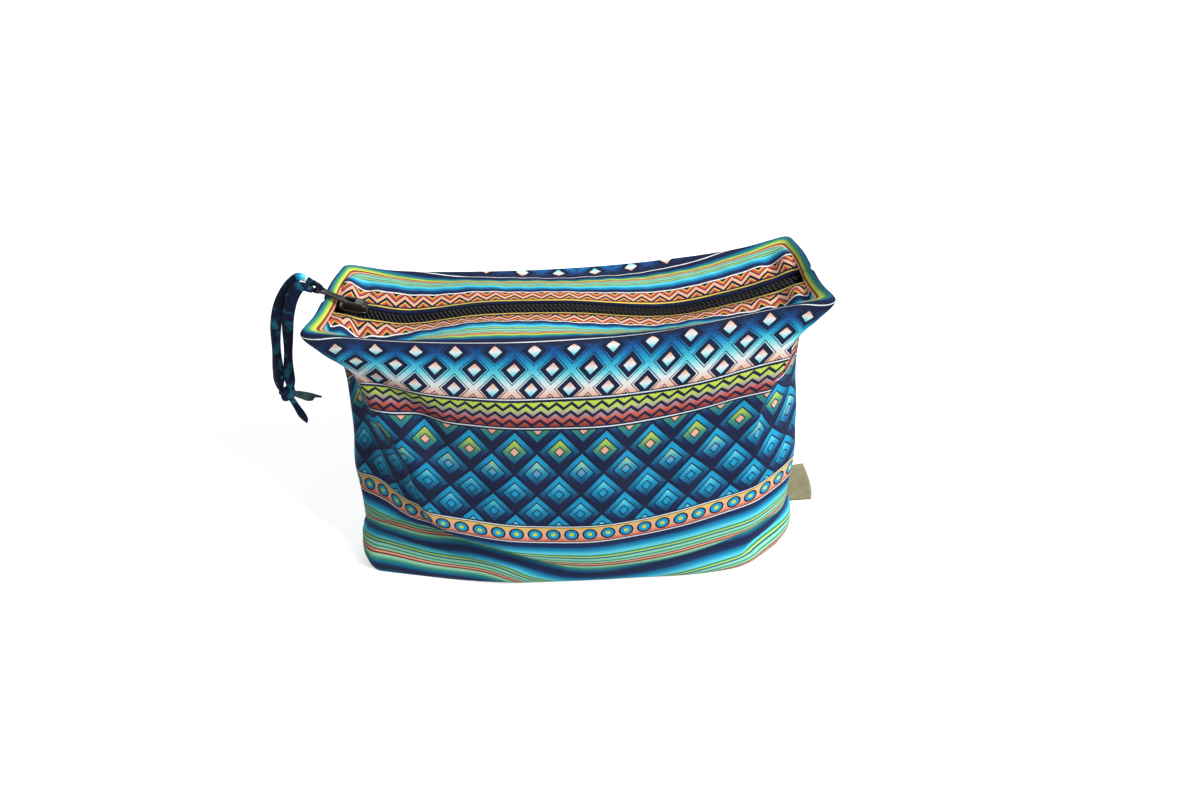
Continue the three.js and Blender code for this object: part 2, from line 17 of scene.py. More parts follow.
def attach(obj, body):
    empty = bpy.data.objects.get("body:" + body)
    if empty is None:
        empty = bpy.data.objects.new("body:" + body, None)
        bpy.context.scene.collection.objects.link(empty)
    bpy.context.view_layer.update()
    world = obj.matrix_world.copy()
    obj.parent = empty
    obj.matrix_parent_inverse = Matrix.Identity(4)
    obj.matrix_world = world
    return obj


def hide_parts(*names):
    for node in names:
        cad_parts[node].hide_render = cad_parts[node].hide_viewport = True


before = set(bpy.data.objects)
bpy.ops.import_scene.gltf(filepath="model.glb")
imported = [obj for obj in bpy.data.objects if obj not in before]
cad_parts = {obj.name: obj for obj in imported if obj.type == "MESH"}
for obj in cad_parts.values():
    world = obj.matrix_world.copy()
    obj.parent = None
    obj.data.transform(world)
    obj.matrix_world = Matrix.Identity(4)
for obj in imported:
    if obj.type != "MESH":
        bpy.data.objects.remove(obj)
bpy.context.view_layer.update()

# %% [markdown]
# Tables are easier to read in millimetres, with x = 0 in the middle of the rim and
# y = 0 in the plane of the side seams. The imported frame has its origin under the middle
# of the whole outline, so one helper moves points over and turns them into metres.

# %% From the maker's tables to the frame
MM = 0.001
FRAME_SHIFT = np.array([1.3, 3.35, 0.0])


def to_frame(points):
    """Points of the tables, in millimetres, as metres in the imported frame."""
    return (np.asarray(points, dtype=float) + FRAME_SHIFT) * MM


def new_piece(name, points, faces, corner_map=None):
    """A smooth mesh object from points in millimetres, with an optional map by face corner."""
    mesh = bpy.data.meshes.new(name)
    mesh.from_pydata(to_frame(points).tolist(), [], [list(map(int, face)) for face in faces])
    if corner_map is not None:
        layer = mesh.uv_layers.new(name="cloth")
        layer.data.foreach_set("uv", (np.asarray(corner_map) * MM).astype(np.float32).ravel())
    mesh.shade_smooth()
    mesh.update()
    piece = bpy.data.objects.new(name, mesh)
    bpy.context.collection.objects.link(piece)
    return piece


def settle(piece):
    """Turn a piece with its modifiers into a plain mesh."""
    evaluated = piece.evaluated_get(bpy.context.evaluated_depsgraph_get())
    plain = bpy.data.meshes.new_from_object(evaluated)
    plain.name = piece.name
    piece.modifiers.clear()
    if piece.type == "MESH":
        piece.data = plain
        return piece
    name = piece.name
    bpy.data.objects.remove(piece)
    made = bpy.data.objects.new(name, plain)
    bpy.context.collection.objects.link(made)
    return made


print("helpers are ready, one unit of the tables is", MM, "m")

# %% [markdown]
# The camera stands in front of the pouch and looks down at it steeply, so the top and
# the front show together. Its angle was found from the places of the rim, the feet and
# the label: 39 degrees down, with the picture turned four degrees.

# %% Camera
LENS = 28.8
CAMERA_PLACE = (0.0150, -0.3633, 0.3858)
LOOK_DOWN = math.radians(39.0)
LOOK_ASIDE = math.radians(0.5)
PICTURE_TURN = math.radians(4.0)

camera_data = bpy.data.cameras.new("camera")
camera_data.lens = LENS
camera_data.sensor_width = 36.0
camera_data.clip_start = 0.01
camera = bpy.data.objects.new("camera", camera_data)
aim = Matrix.Rotation(LOOK_ASIDE, 4, "Z") @ Matrix.Rotation(math.pi / 2 - LOOK_DOWN, 4, "X")
roll = Matrix.Rotation(-PICTURE_TURN, 4, "Z")
camera.matrix_world = Matrix.Translation(CAMERA_PLACE) @ aim @ roll
bpy.context.collection.objects.link(camera)
bpy.context.scene.camera = camera
print("camera looks along", [round(v, 3) for v in -camera.matrix_world.col[2].xyz])

# %% [markdown]
# A studio table is a wide pale sheet that sweeps up into a wall, under one soft lamp, with
# weaker lamps on the other sides so that the hollows of the cloth keep some light. Printed
# colours are shown as they are, so the plain view transform is used.

# %% Lights
LAMP_AIM = (0.0, 0.0, 0.07)
# Name, place in metres, width in metres and power in watts.
LAMPS = [
    ("key_lamp", (0.90, -0.60, 0.80), 0.5, 23.0),
    ("fill_lamp", (-0.5, -1.0, 1.0), 1.2, 0.6),
    ("back_lamp", (-0.1, 1.0, 1.0), 1.2, 6.0),
]
SKY_COLOUR = (0.97, 0.98, 1.0, 1.0)
SKY_STRENGTH = 0.33


def soft_lamp(name, place, size, power):
    data = bpy.data.lights.new(name, "AREA")
    data.shape = "DISK"
    data.size = size
    data.energy = power
    lamp = bpy.data.objects.new(name, data)
    direction = Vector(LAMP_AIM) - Vector(place)
    turn = direction.to_track_quat("-Z", "Y").to_matrix().to_4x4()
    lamp.matrix_world = Matrix.Translation(place) @ turn
    bpy.context.collection.objects.link(lamp)


for lamp in LAMPS:
    soft_lamp(*lamp)

world = bpy.data.worlds.new("studio")
world.use_nodes = True
sky = world.node_tree.nodes["Background"].inputs
sky["Color"].default_value = SKY_COLOUR
sky["Strength"].default_value = SKY_STRENGTH
bpy.context.scene.world = world
bpy.context.scene.view_settings.view_transform = "Standard"
print("soft lamps:", [lamp[0] for lamp in LAMPS])

# %% [markdown]
# A flat plane would end in a hard horizon. Rows of radius and height, swept round in rings,
# make a floor that curves up into a wall on every side, so any view has the same ground.

# %% Floor
STUDIO_ROOM = [(0, 0), (1800, 0), (2150, 60), (2400, 250), (2500, 600), (2500, 2500)]
ROOM_SIDES = 96


def studio_floor():
    """A round floor that sweeps up into a wall, from rows of (radius, height)."""
    points = [(0, 0, 0)]
    faces = []
    for i, (radius, height) in enumerate(STUDIO_ROOM[1:]):
        for k in range(ROOM_SIDES):
            angle = 2 * math.pi * k / ROOM_SIDES
            points.append((radius * math.cos(angle), radius * math.sin(angle), height))
            here, beside = 1 + i * ROOM_SIDES + k, 1 + i * ROOM_SIDES + (k + 1) % ROOM_SIDES
            inner = (0,) if i == 0 else (beside - ROOM_SIDES, here - ROOM_SIDES)
            faces.append((here, beside) + inner)
    return new_piece("studio_floor", points, faces)


floor = studio_floor()
floor.visible_diffuse = False  # the sheet throws no light back, so the sides of the pouch stay dark
floor.visible_shadow = False  # light from outside the room still comes in
print("the flat part of the floor is", 2 * STUDIO_ROOM[1][0] * MM, "m wide")

# %% [markdown]
# Every finish below is a small network of shader nodes. Placing nodes one by one is slow
# to read, so one class wraps a socket: Python operators on it add Math nodes, and a
# single method adds any other kind of node. A pattern can then be written as a formula.

# %% Shader formulas
class Shade:
    """One output of a shader node, on which arithmetic adds Math nodes."""

    def __init__(self, tree, socket=None):
        self.tree = tree
        self.socket = socket

    def node(self, kind, settings=None, inputs=None, output=0):
        """Add a node of any kind: settings first, then values or links of its sockets."""
        made = self.tree.nodes.new(kind)
        for name, value in (settings or {}).items():
            if name == "stops":
                elements = made.color_ramp.elements
                while len(elements) < len(value):
                    elements.new(1.0)
                for element, (place, colour) in zip(elements, value):
                    element.position = place
                    element.color = colour
            elif name == "blend":
                made.color_ramp.interpolation = value
            else:
                setattr(made, name, value)
        for name, value in (inputs or {}).items():
            if isinstance(value, Shade):
                self.tree.links.new(value.socket, made.inputs[name])
            else:
                made.inputs[name].default_value = value
        return Shade(self.tree, made.outputs[output])

    def math(self, operation, first, second=0.0):
        return self.node("ShaderNodeMath", {"operation": operation}, {0: first, 1: second})

    def __add__(self, other):
        return self.math("ADD", self, other)

    def __radd__(self, other):
        return self.math("ADD", other, self)

    def __sub__(self, other):
        return self.math("SUBTRACT", self, other)

    def __rsub__(self, other):
        return self.math("SUBTRACT", other, self)

    def __mul__(self, other):
        return self.math("MULTIPLY", self, other)

    def __rmul__(self, other):
        return self.math("MULTIPLY", other, self)

    def __truediv__(self, other):
        return self.math("DIVIDE", self, other)

    def __lt__(self, other):
        return self.math("LESS_THAN", self, other)

    def __gt__(self, other):
        return self.math("GREATER_THAN", self, other)

    def __abs__(self):
        return self.math("ABSOLUTE", self)


print("formulas on sockets are ready")

# %% [markdown]
# A finish is then written with a few short words: a dye, a stripe or a zigzag that repeats,
# one colour painted over another, a bump. Each word is a small function. The place of a
# pattern comes from the piece's own map, which counts cloth lengths, or from its object.

# %% Words for finishes
def dye(digits):
    """A colour written as six hexadecimal digits, as linear red, green, blue and alpha."""
    parts = [int(digits[i:i + 2], 16) / 255 for i in (0, 2, 4)]
    linear = [p / 12.92 if p <= 0.04045 else ((p + 0.055) / 1.055) ** 2.4 for p in parts]
    return (*linear, 1.0)


def repeat(value, period):
    """Where a value stands in its period, from 0 to 1."""
    return value.math("FRACT", value / period)


def zigzag(value, period):
    """A sharp wave from 1 down to 0 and back in each period."""
    return abs(repeat(value, period) - 0.5) * 2


def wave(value, period):
    return value.math("SINE", value * (2 * math.pi / period))


def larger(first, second):
    return first.math("MAXIMUM", first, second)


def between(value, low, high):
    return (value > low) * (value < high)


def share(value, limits):
    """Where a value stands between two limits, from 0 to 1."""
    low, high = limits
    return (value - low) / (high - low)


def ramp(value, stops, blend="LINEAR"):
    return value.node("ShaderNodeValToRGB", {"stops": stops, "blend": blend}, {0: value})


def paint(under, mask, over):
    """Lay a colour over another one where the mask is 1."""
    return mask.node("ShaderNodeMix", {"data_type": "RGBA"}, {0: mask, 6: under, 7: over}, 2)


def new_finish(name, **even):
    """A material with one principled shader, whose even sockets are set at once."""
    material = bpy.data.materials.new(name)
    material.use_nodes = True
    shader = material.node_tree.nodes["Principled BSDF"]
    for socket, value in even.items():
        shader.inputs[socket.replace("_", " ")].default_value = value
    return material, shader, Shade(material.node_tree)


def plug(shader, shade, **links):
    for socket, value in links.items():
        shade.tree.links.new(value.socket, shader.inputs[socket.replace("_", " ")])


def bump(shade, height, distance):
    inputs = {"Strength": 1.0, "Distance": distance, "Height": height}
    return shade.node("ShaderNodeBump", None, inputs)


def own_map(shade):
    """The two coordinates of a piece's own map, in millimetres of cloth, and the map itself."""
    mapped = shade.node("ShaderNodeUVMap", {"uv_map": "cloth"})
    across = shade.node("ShaderNodeSeparateXYZ", None, {0: mapped}, 0)
    down = shade.node("ShaderNodeSeparateXYZ", None, {0: mapped}, 1)
    return across * 1000, down * 1000, mapped


def noise(shade, vector, scale, detail=2.0, roughness=0.5):
    inputs = {"Vector": vector, "Scale": scale, "Detail": detail, "Roughness": roughness}
    return shade.node("ShaderNodeTexNoise", None, inputs)


def object_place(shade):
    return shade.node("ShaderNodeTexCoord", None, None, 3)


print("shader helpers are ready")

# %% [markdown]
# The floor is matt paper over a light table, so that shadows on it stay pale. An even
# white would do, but a faint mottle keeps the sheet from looking like empty space.

# %% Paper of the floor
paper, shader, shade = new_finish(
    "studio_paper", Roughness=0.9, Specular_IOR_Level=0.2, Emission_Strength=0.55)
mottle = noise(shade, object_place(shade), 9.0, 4.0)
white = ramp(mottle, [(0.3, dye("f2f2f3")), (0.7, dye("f6f6f6"))])
plug(shader, shade, Base_Color=white, Emission_Color=white)
floor.data.materials.append(paper)
print("floor paper is white with a faint mottle")

# %% [markdown]
# The cloth carries a bright printed design. This one is a generic set of geometric bands
# in sea colours: chevrons and fine stripes on the top, a lattice of small lozenges over a
# sprayed blend from navy to peach, a warm zigzag band, large nested diamonds, dots and
# stripes. The map of each panel holds cloth lengths, read here in millimetres, so a band is
# a range of the second coordinate and a motif repeats along the first one.

# %% Dyes and the sprayed grain
NAVY = dye("0d1838")
DEEP = dye("0e2c5c")
BLUE = dye("0f5598")
TEAL = dye("0a688c")
TURQUOISE = dye("1598c6")
AQUA = dye("64d4e0")
CREAM = dye("e6edee")
PEACH = dye("e8ae8e")
CORAL = dye("c9533a")
RUST = dye("8a3a2c")
MAUVE = dye("a392a2")
AMBER = dye("e0c04a")
LIME = dye("bfd54c")
GREEN = dye("338a6c")
MINT = dye("8fd0ae")
GRAIN = 0.3  # size of a sprayed dot in millimetres


def sprayed(level, dyes, grain, spread=1.0):
    """A blend of dyes, the first at 0 and the last at 1, roughened by fine sprayed dots."""
    count = len(dyes) - 1
    rough_level = level + (grain - 0.5) * (spread / (count + 1))
    return ramp(rough_level, [(i / count, colour) for i, colour in enumerate(dyes)])


def spray_grain(shade, mapped):
    """An even random value for each sprayed dot of the cloth."""
    cell = (GRAIN * MM,) * 3
    snapped = shade.node("ShaderNodeVectorMath", {"operation": "SNAP"}, {0: mapped, 1: cell})
    return shade.node("ShaderNodeTexWhiteNoise", {"noise_dimensions": "2D"}, {"Vector": snapped})


print("the dyes are mixed, a sprayed dot is", GRAIN, "mm")

# %% [markdown]
# The bands are listed from the zip down. The second coordinate is 27 at the rim, so
# `below` counts millimetres below the rim and is negative on the top. All sizes of motifs
# are millimetres of cloth too. Each band is a formula that is worked out everywhere.

# %% Printed bands of the panels
RIM_AT = 27.0
CHEVRONS = (-22.5, -15.5)
TOP_STRIPES = (-14.9, 0.5)
LATTICE = (3.5, 35.0)
WARM = (37.5, 51.0)
DIAMONDS = (53.5, 111.0)
DOTS = (113.0, 122.0)
BASE_STRIPES = (123.0, 190.0)
BASE_REPEAT = 25.0
WARM_ROWS = (66.0, 80.0)  # the diamonds turn from warm to cool dyes between these


def lozenges(value, other, wide, high):
    """Staggered lozenges: distance from a centre (1 at the outline) and place up and down in it."""
    first = repeat(value / wide + other / high, 1.0) - 0.5
    second = repeat(value / wide - other / high, 1.0) - 0.5
    return larger(abs(first), abs(second)) * 2, first - second + 0.5


def fine_stripes(place, bright):
    """A glow from navy to aqua, fine crisp lines, a bright stripe, then teal and navy again."""
    glow = ramp(place, [(0.0, NAVY), (0.12, DEEP), (0.24, TURQUOISE), (0.33, AQUA), (0.68, bright),
                        (0.73, bright), (0.79, GREEN), (0.86, TEAL), (0.93, DEEP), (0.98, NAVY)])
    lines = ramp(place, [
        (0.0, GREEN), (0.4, LIME), (0.43, TEAL), (0.47, MINT), (0.53, GREEN), (0.56, MINT),
        (0.6, RUST), (0.63, PEACH), (0.66, RUST),
    ], "CONSTANT")
    return paint(glow, between(place, 0.36, 0.7), lines)


def chevron_band(along, below, grain):
    ribbon = repeat(below + zigzag(along, 8.4) * 4.2, 6.4)
    stops = [(0.0, NAVY), (0.2, PEACH), (0.5, NAVY), (0.62, CORAL), (0.84, AMBER), (0.94, NAVY)]
    return ramp(ribbon, stops, "CONSTANT")


def top_stripes(along, below, grain):
    return fine_stripes(share(below, TOP_STRIPES), LIME)


def lattice_band(along, below, grain):
    dyes = [NAVY, NAVY, BLUE, TURQUOISE, AQUA, CREAM, PEACH]
    blend = sprayed(below / LATTICE[1], dyes, grain, 0.8)
    far, height = lozenges(along, below - 9.7, 17.0, 21.0)
    core = sprayed(height, [PEACH, PEACH, CREAM, AQUA, AQUA], grain)
    colour = paint(blend, far < 0.66, NAVY)
    colour = paint(colour, between(far, 0.74, 0.8), NAVY)
    return paint(colour, far < 0.34, core)


def warm_band(along, below, grain):
    blend = sprayed(share(below, WARM), [LIME, LIME, MAUVE, CORAL, RUST], grain)
    line = repeat(below + zigzag(along, 6.8) * 3.0, 4.5) < 0.42
    return paint(blend, line, NAVY)


def diamond_band(along, below, grain):
    far, height = lozenges(along, below - WARM_ROWS[0], 21.0, 25.0)
    fading = {"Value": below, "From Min": WARM_ROWS[0], "From Max": WARM_ROWS[1],
              "To Min": 1.0, "To Max": 0.0}
    upper_rows = below.node("ShaderNodeMapRange", {"clamp": True}, fading)
    outer = sprayed(1 - height, [NAVY, DEEP, TEAL, TURQUOISE], grain)
    cool = sprayed(height, [AQUA, TURQUOISE, TEAL, DEEP], grain)
    warm = sprayed(height, [LIME, GREEN, TEAL], grain)
    colour = paint(outer, far > 0.9, NAVY)
    colour = paint(colour, far < 0.62, NAVY)
    colour = paint(colour, far < 0.54, paint(cool, upper_rows, warm))
    colour = paint(colour, far < 0.26, NAVY)
    return paint(colour, far < 0.19, paint(TURQUOISE, upper_rows, PEACH))


def dotted_band(along, below, grain):
    blend = sprayed(share(below, DOTS), [AMBER, PEACH, PEACH, CORAL], grain)
    pitch = DOTS[1] - DOTS[0]
    side = (repeat(along, pitch) - 0.5) * pitch
    high = below - sum(DOTS) / 2
    far = side.math("SQRT", side * side + high * high)
    colour = paint(blend, far < 3.7, NAVY)
    colour = paint(colour, far < 2.8, TURQUOISE)
    return paint(colour, far < 1.2, LIME)


def base_stripes(along, below, grain):
    return fine_stripes(repeat(below - BASE_STRIPES[0], BASE_REPEAT), MINT)


print("bands run from", CHEVRONS[0], "to", BASE_STRIPES[1], "mm below the rim")

# %% [markdown]
# Now the bands are laid over each other on navy, each inside its own limits, with thin
# lines between them. The cloth is matt and smooth, and a fine knit in the bump and in the
# roughness keeps it from looking like plastic.

# %% Printed cloth
BANDS = [
    (CHEVRONS, chevron_band),
    (TOP_STRIPES, top_stripes),
    (LATTICE, lattice_band),
    (WARM, warm_band),
    (DIAMONDS, diamond_band),
    (DOTS, dotted_band),
    (BASE_STRIPES, base_stripes),
]
# Place below the rim, width and dye.
LINES = [
    (-23.9, 0.8, AMBER), (-15.2, 0.6, CREAM), (2.6, 0.6, CREAM), (35.9, 0.6, CREAM),
    (52.2, 0.6, CREAM), (112.2, 0.6, CREAM), (122.8, 0.6, CREAM),
]


def printed_colour(along, below, grain):
    colour = NAVY
    for limits, band in BANDS:
        colour = paint(colour, between(below, *limits), band(along, below, grain))
    for place, width, line_dye in LINES:
        colour = paint(colour, abs(below - place) < width / 2, line_dye)
    return colour


def panel_cloth():
    """Smooth swim cloth: printed, matt, with a soft sheen and a fine knit."""
    material, shader, shade = new_finish(
        "panel_cloth", Sheen_Weight=0.01, Sheen_Roughness=0.4, Specular_IOR_Level=0.07)
    along, down, mapped = own_map(shade)
    grain = spray_grain(shade, mapped)
    colour = printed_colour(along, down - RIM_AT, grain)
    fade = noise(shade, object_place(shade), 30.0, 3.0)
    colour = paint(colour, fade * 0.03, dye("c5ccd6"))
    knit = wave(along, 0.62) * wave(down, 0.5)
    slub = noise(shade, mapped, 420.0, 3.0)
    height = knit * 0.35 + slub
    rough = 0.62 + slub * 0.22 + knit * 0.03
    plug(shader, shade, Base_Color=colour, Roughness=rough, Normal=bump(shade, height, 0.00006))
    return material


PANEL_CLOTH = panel_cloth()
print("printed cloth has", len(PANEL_CLOTH.node_tree.nodes), "nodes")

# %% [markdown]
# A strap that hangs is a tube along a smooth route. A Blender curve with a bevel would do
# for an even cord, but this strip of cloth is gathered and changes its section all the way,
# so the tube is made ring by ring, with a map that counts lengths along and around it.

# %% Routes and tubes
ROUTE_STEPS = 24  # fine steps between two given points of a route


def smooth_route(points, count):
    """Evenly spaced points on the rounded curve through a few given ones."""
    points = np.asarray(points, dtype=float)
    ends = np.vstack([2 * points[0] - points[1], points, 2 * points[-1] - points[-2]])
    fine = []
    for i in range(1, len(ends) - 2):
        for t in np.linspace(0, 1, ROUTE_STEPS, endpoint=False):
            a, b, c, d = ends[i - 1:i + 3]
            fine.append(0.5 * (2 * b + (c - a) * t + (2 * a - 5 * b + 4 * c - d) * t ** 2
                               + (3 * b - a - 3 * c + d) * t ** 3))
    fine = np.array(fine + [points[-1]])
    walked = np.concatenate([[0], np.cumsum(np.linalg.norm(np.diff(fine, axis=0), axis=1))])
    even = np.linspace(0, walked[-1], count)
    return np.column_stack([np.interp(even, walked, fine[:, k]) for k in range(3)])


def swept_tube(name, route, section, closed=False, sides=28, map_start=0.0):
    """A tube along a route, whose half width and half depth are given by place (0 to 1) and angle."""
    count = len(route)
    ahead = np.roll(route, -1, axis=0) - np.roll(route, 1, axis=0)
    if not closed:
        ahead[0] = route[1] - route[0]
        ahead[-1] = route[-1] - route[-2]
    ahead /= np.linalg.norm(ahead, axis=1, keepdims=True)
    across = np.cross(ahead, [0.0, 1.0, 0.0])
    across /= np.linalg.norm(across, axis=1, keepdims=True)
    other = np.cross(ahead, across)
    strides = np.linalg.norm(np.diff(route, axis=0), axis=1)
    walked = map_start + np.concatenate([[0], np.cumsum(strides)])
    angles = np.linspace(0, 2 * math.pi, sides, endpoint=False)
    places = np.linspace(0, 1, count)[:, None]
    wide, deep = section(places, angles[None, :])
    ring = across[:, None] * (wide * np.cos(angles))[..., None]
    ring = ring + other[:, None] * (deep * np.sin(angles))[..., None]
    points = (route[:, None] + ring).reshape(-1, 3)
    faces, corner_map = [], []
    girth = math.pi * 2 * float(np.mean(wide))
    last = count if closed else count - 1
    for i in range(last):
        near = walked[i]
        far = walked[i + 1] if i + 1 < count else near + np.linalg.norm(route[0] - route[-1])
        for j in range(sides):
            a, b = i * sides + j, i * sides + (j + 1) % sides
            c, d = ((i + 1) % count) * sides + (j + 1) % sides, ((i + 1) % count) * sides + j
            faces.append((a, b, c, d))
            low, high = girth * j / sides, girth * (j + 1) / sides
            corner_map += [(low, near), (high, near), (high, far), (low, far)]
    if not closed:
        first_cap = tuple(range(sides))[::-1]
        last_cap = tuple(range((count - 1) * sides, count * sides))
        faces += [first_cap, last_cap]
        corner_map += [(0, walked[0])] * sides + [(0, walked[-1])] * sides
    return new_piece(name, points, faces, corner_map)


def route_length(path):
    return float(np.sum(np.linalg.norm(np.diff(path, axis=0), axis=1)))


def eased(value, low, high):
    """A smooth step from 0 at one value to 1 at another."""
    t = np.clip((value - low) / (high - low), 0, 1)
    return t * t * (3 - 2 * t)


print("a route has", ROUTE_STEPS, "fine steps between two given points")

# %% [markdown]
# The strap is a narrow strip of the same cloth, gathered so much that it hangs as two
# round strands, tied in one knot below. The gathers are lengthwise grooves. The route is the
# one of the solid model, carried on into the knot. The strands are squeezed thin where they
# come from the puller's eye, and the inner one spreads where it folds over, so that no light
# shows between them there.

# %% Strap strands
STRAND_WIDTH = 4.6
STRAP_MAP_FAR = 200.0  # the map of all but the outer strand starts beyond the pale stripe
OUTER_ROUTE = [
    (-113.3, 2.5, 167), (-115.6, 2.5, 169), (-118.3, 2.5, 170.3), (-122.1, 2.4, 167.5),
    (-126.4, 1.8, 162.7), (-130, 1, 157), (-132.9, 0.3, 150), (-135.3, 0, 141.8),
    (-137.8, 0, 130.2), (-139.6, 0, 121), (-141.1, 0, 112.6)]
INNER_ROUTE = [
    (-113.3, -2.5, 166.6), (-115.6, -2.5, 168), (-118.2, -2.5, 167.6), (-121.3, -2.4, 163.6),
    (-124.2, -1.8, 157.9), (-126.6, -1, 152), (-128.7, -0.3, 145), (-130.6, 0, 137.5),
    (-132.9, 0, 128.6), (-134.9, 0, 120), (-136.2, 0, 112.6)]
OUTER_END = (-140.0, 0, 109.6)
INNER_END = (-137.4, 0, 109.6)


def gathered(radius, phase, spread):
    """Section of a gathered strip: a rounded strand with soft grooves, spread where it folds over."""

    def section(place, angle):
        groove = 0.08 * np.cos(5 * angle + phase + 4 * place) + 0.06 * np.cos(3 * angle - 5 * place)
        groove = groove + 0.03 * np.cos(9 * angle + 11 * place + phase)
        eye_pinch = 0.55 + 0.45 * eased(place, 0.0, 0.2)
        knot_pinch = 1 - 0.5 * eased(place, 0.88, 1.0)
        slit = 1 - 0.24 * np.exp(-((place - 0.66) / 0.13) ** 2)
        shape = radius * (1 + groove) * eye_pinch * knot_pinch * slit
        fold_over = 1 + spread * np.exp(-((place - 0.07) / 0.07) ** 2)
        return shape * 1.1 * fold_over, shape * 0.94

    return section


outer_path = smooth_route(OUTER_ROUTE + [OUTER_END], 76)
inner_path = smooth_route(INNER_ROUTE + [INNER_END], 66)
outer_section = gathered(STRAND_WIDTH / 2, phase=0.4, spread=0.0)
inner_section = gathered(STRAND_WIDTH / 2, phase=2.1, spread=0.5)
strand_outer = swept_tube("strap_strand_outer", outer_path, outer_section)
strand_inner = swept_tube("strap_strand_inner", inner_path, inner_section, map_start=STRAP_MAP_FAR)


print("strands:", round(route_length(outer_path), 1), "and", round(route_length(inner_path), 1), "mm")

# %% [markdown]
# Where the strap goes through the puller's eye it is squeezed thin. This bight runs in the
# puller's own place: the puller rises to the left, 35 degrees over the end of the zip, and
# hangs on a slider that follows the slope of the zip. Its two legs widen into the strands.

# %% Bight of the strap in the puller's eye
SLIDER_X = -97.4
SLIDER_REACH = 4.0  # the slope of the zip is taken this far on both sides of the slider's middle
PLATE = 1.3
PLATE_RISE = 0.9
PIN_X = -1.5
PIN_RISE = 1.15
PULLER_THICK = 1.3
PULLER_LONG = 16.6
EYE_AT = 14.2
PULLER_ANGLE = math.radians(35)
BIGHT_WIDTH = 1.8
BIGHT_AIR = 0.25  # between the strap and the faces of the puller
# The closed zip's x and height.
ZIP_WAVE = [
    (-104.5, 155), (-92, 151), (-72, 146.5), (-38, 149), (-5, 147.5), (45, 141.5), (75, 146),
    (104.5, 155)]


def smooth_column(rows, column, places):
    """A column of a table at places between its rows: a smooth curve with no overshoot."""
    rows = np.asarray(rows, dtype=float)
    places = np.clip(np.asarray(places, dtype=float), rows[0, 0], rows[-1, 0])
    key, value = rows[:, 0], rows[:, column]
    span = np.diff(key)
    rise = np.diff(value) / span
    before, after = rise[:-1], rise[1:]
    agree = before * after > 0
    inner = np.where(agree, 2 * before * after / np.where(agree, before + after, 1), 0)
    slope = np.concatenate([[rise[0]], inner, [rise[-1]]])
    i = np.clip(np.searchsorted(key, places) - 1, 0, len(span) - 1)
    t = (places - key[i]) / span[i]
    ease = t * t * (3 - 2 * t)
    bend = t * (1 - t) * ((1 - t) * slope[i] - t * slope[i + 1]) * span[i]
    return value[i] + (value[i + 1] - value[i]) * ease + bend


def zip_height(x):
    return smooth_column(ZIP_WAVE, 1, x)


zip_rise = zip_height(SLIDER_X + SLIDER_REACH) - zip_height(SLIDER_X - SLIDER_REACH)
zip_slope = math.atan(float(zip_rise) / (2 * SLIDER_REACH))
slider_place = Matrix.Translation((SLIDER_X, 0, float(zip_height(SLIDER_X))))
slider_place = slider_place @ Matrix.Rotation(-zip_slope, 4, "Y")
puller_place = slider_place @ Matrix.Translation((PIN_X, 0, PLATE_RISE + PLATE + PIN_RISE))
puller_place = puller_place @ Matrix.Rotation(math.pi + PULLER_ANGLE + zip_slope, 4, "Y")

tuck = PULLER_THICK / 2 + BIGHT_WIDTH / 2 + BIGHT_AIR
lower_leg = [(EYE_AT + 0.2, 1.2), (EYE_AT + 1.9, tuck), (PULLER_LONG + 0.8, tuck - 0.1)]
eye_route = [(x, -z) for x, z in reversed(lower_leg)] + [(EYE_AT, 0)] + lower_leg
eye_route = [tuple(puller_place @ Vector((x, 0, z))) for x, z in eye_route]
bight_route = OUTER_ROUTE[1::-1] + eye_route + INNER_ROUTE[:2]
bight_path = smooth_route(bight_route, 60)


def bight_section(place, angle):
    flare = eased(abs(2 * place - 1), 0.3, 0.85)
    groove = 1 + 0.08 * np.cos(5 * angle + 6 * place)
    tuck_in = 1 - 0.45 * eased(abs(2 * place - 1), 0.84, 1.0)
    radius = (BIGHT_WIDTH / 2 + 0.65 * flare) * groove * tuck_in
    return radius, radius * (1.25 - 0.15 * flare)


strap_bight = swept_tube("strap_bight", bight_path, bight_section, sides=20, map_start=STRAP_MAP_FAR)
print("zip slope at the slider:", round(math.degrees(zip_slope), 1), "degrees")

# %% [markdown]
# The knot is a plain overhand knot pulled tight. A tube along a three-lobed closed curve,
# squashed to the size of the knot, shows the same overlapping turns. The two tails are
# the cut ends of the strip: one spreads like a fin, the other stays rolled.

# %% Knot and tails
KNOT_PLACE = np.array([-138.6, 0.0, 108.6])
KNOT_SIZE = np.array([8.0, 7.4, 7.6])
KNOT_TUBE = 1.75
TAIL_SUNK = 1.6  # how deep a tail starts inside the knot
TAIL_MORE = 2.1  # length added to a tail for what the knot hides


def knot_route(count):
    turn = np.linspace(0, 2 * math.pi, count, endpoint=False)
    lobes = np.column_stack([
        np.sin(turn) + 2 * np.sin(2 * turn),
        -1.4 * np.sin(3 * turn),
        np.cos(turn) - 2 * np.cos(2 * turn)])
    lobes /= np.abs(lobes).max(axis=0)
    return KNOT_PLACE + lobes * (KNOT_SIZE / 2 - KNOT_TUBE)


def knot_section(place, angle):
    radius = KNOT_TUBE * (1 + 0.06 * np.cos(4 * angle + 2 * math.pi * place))
    return radius, radius


strap_knot = swept_tube(
    "strap_knot", knot_route(110), knot_section, closed=True, sides=18, map_start=STRAP_MAP_FAR)


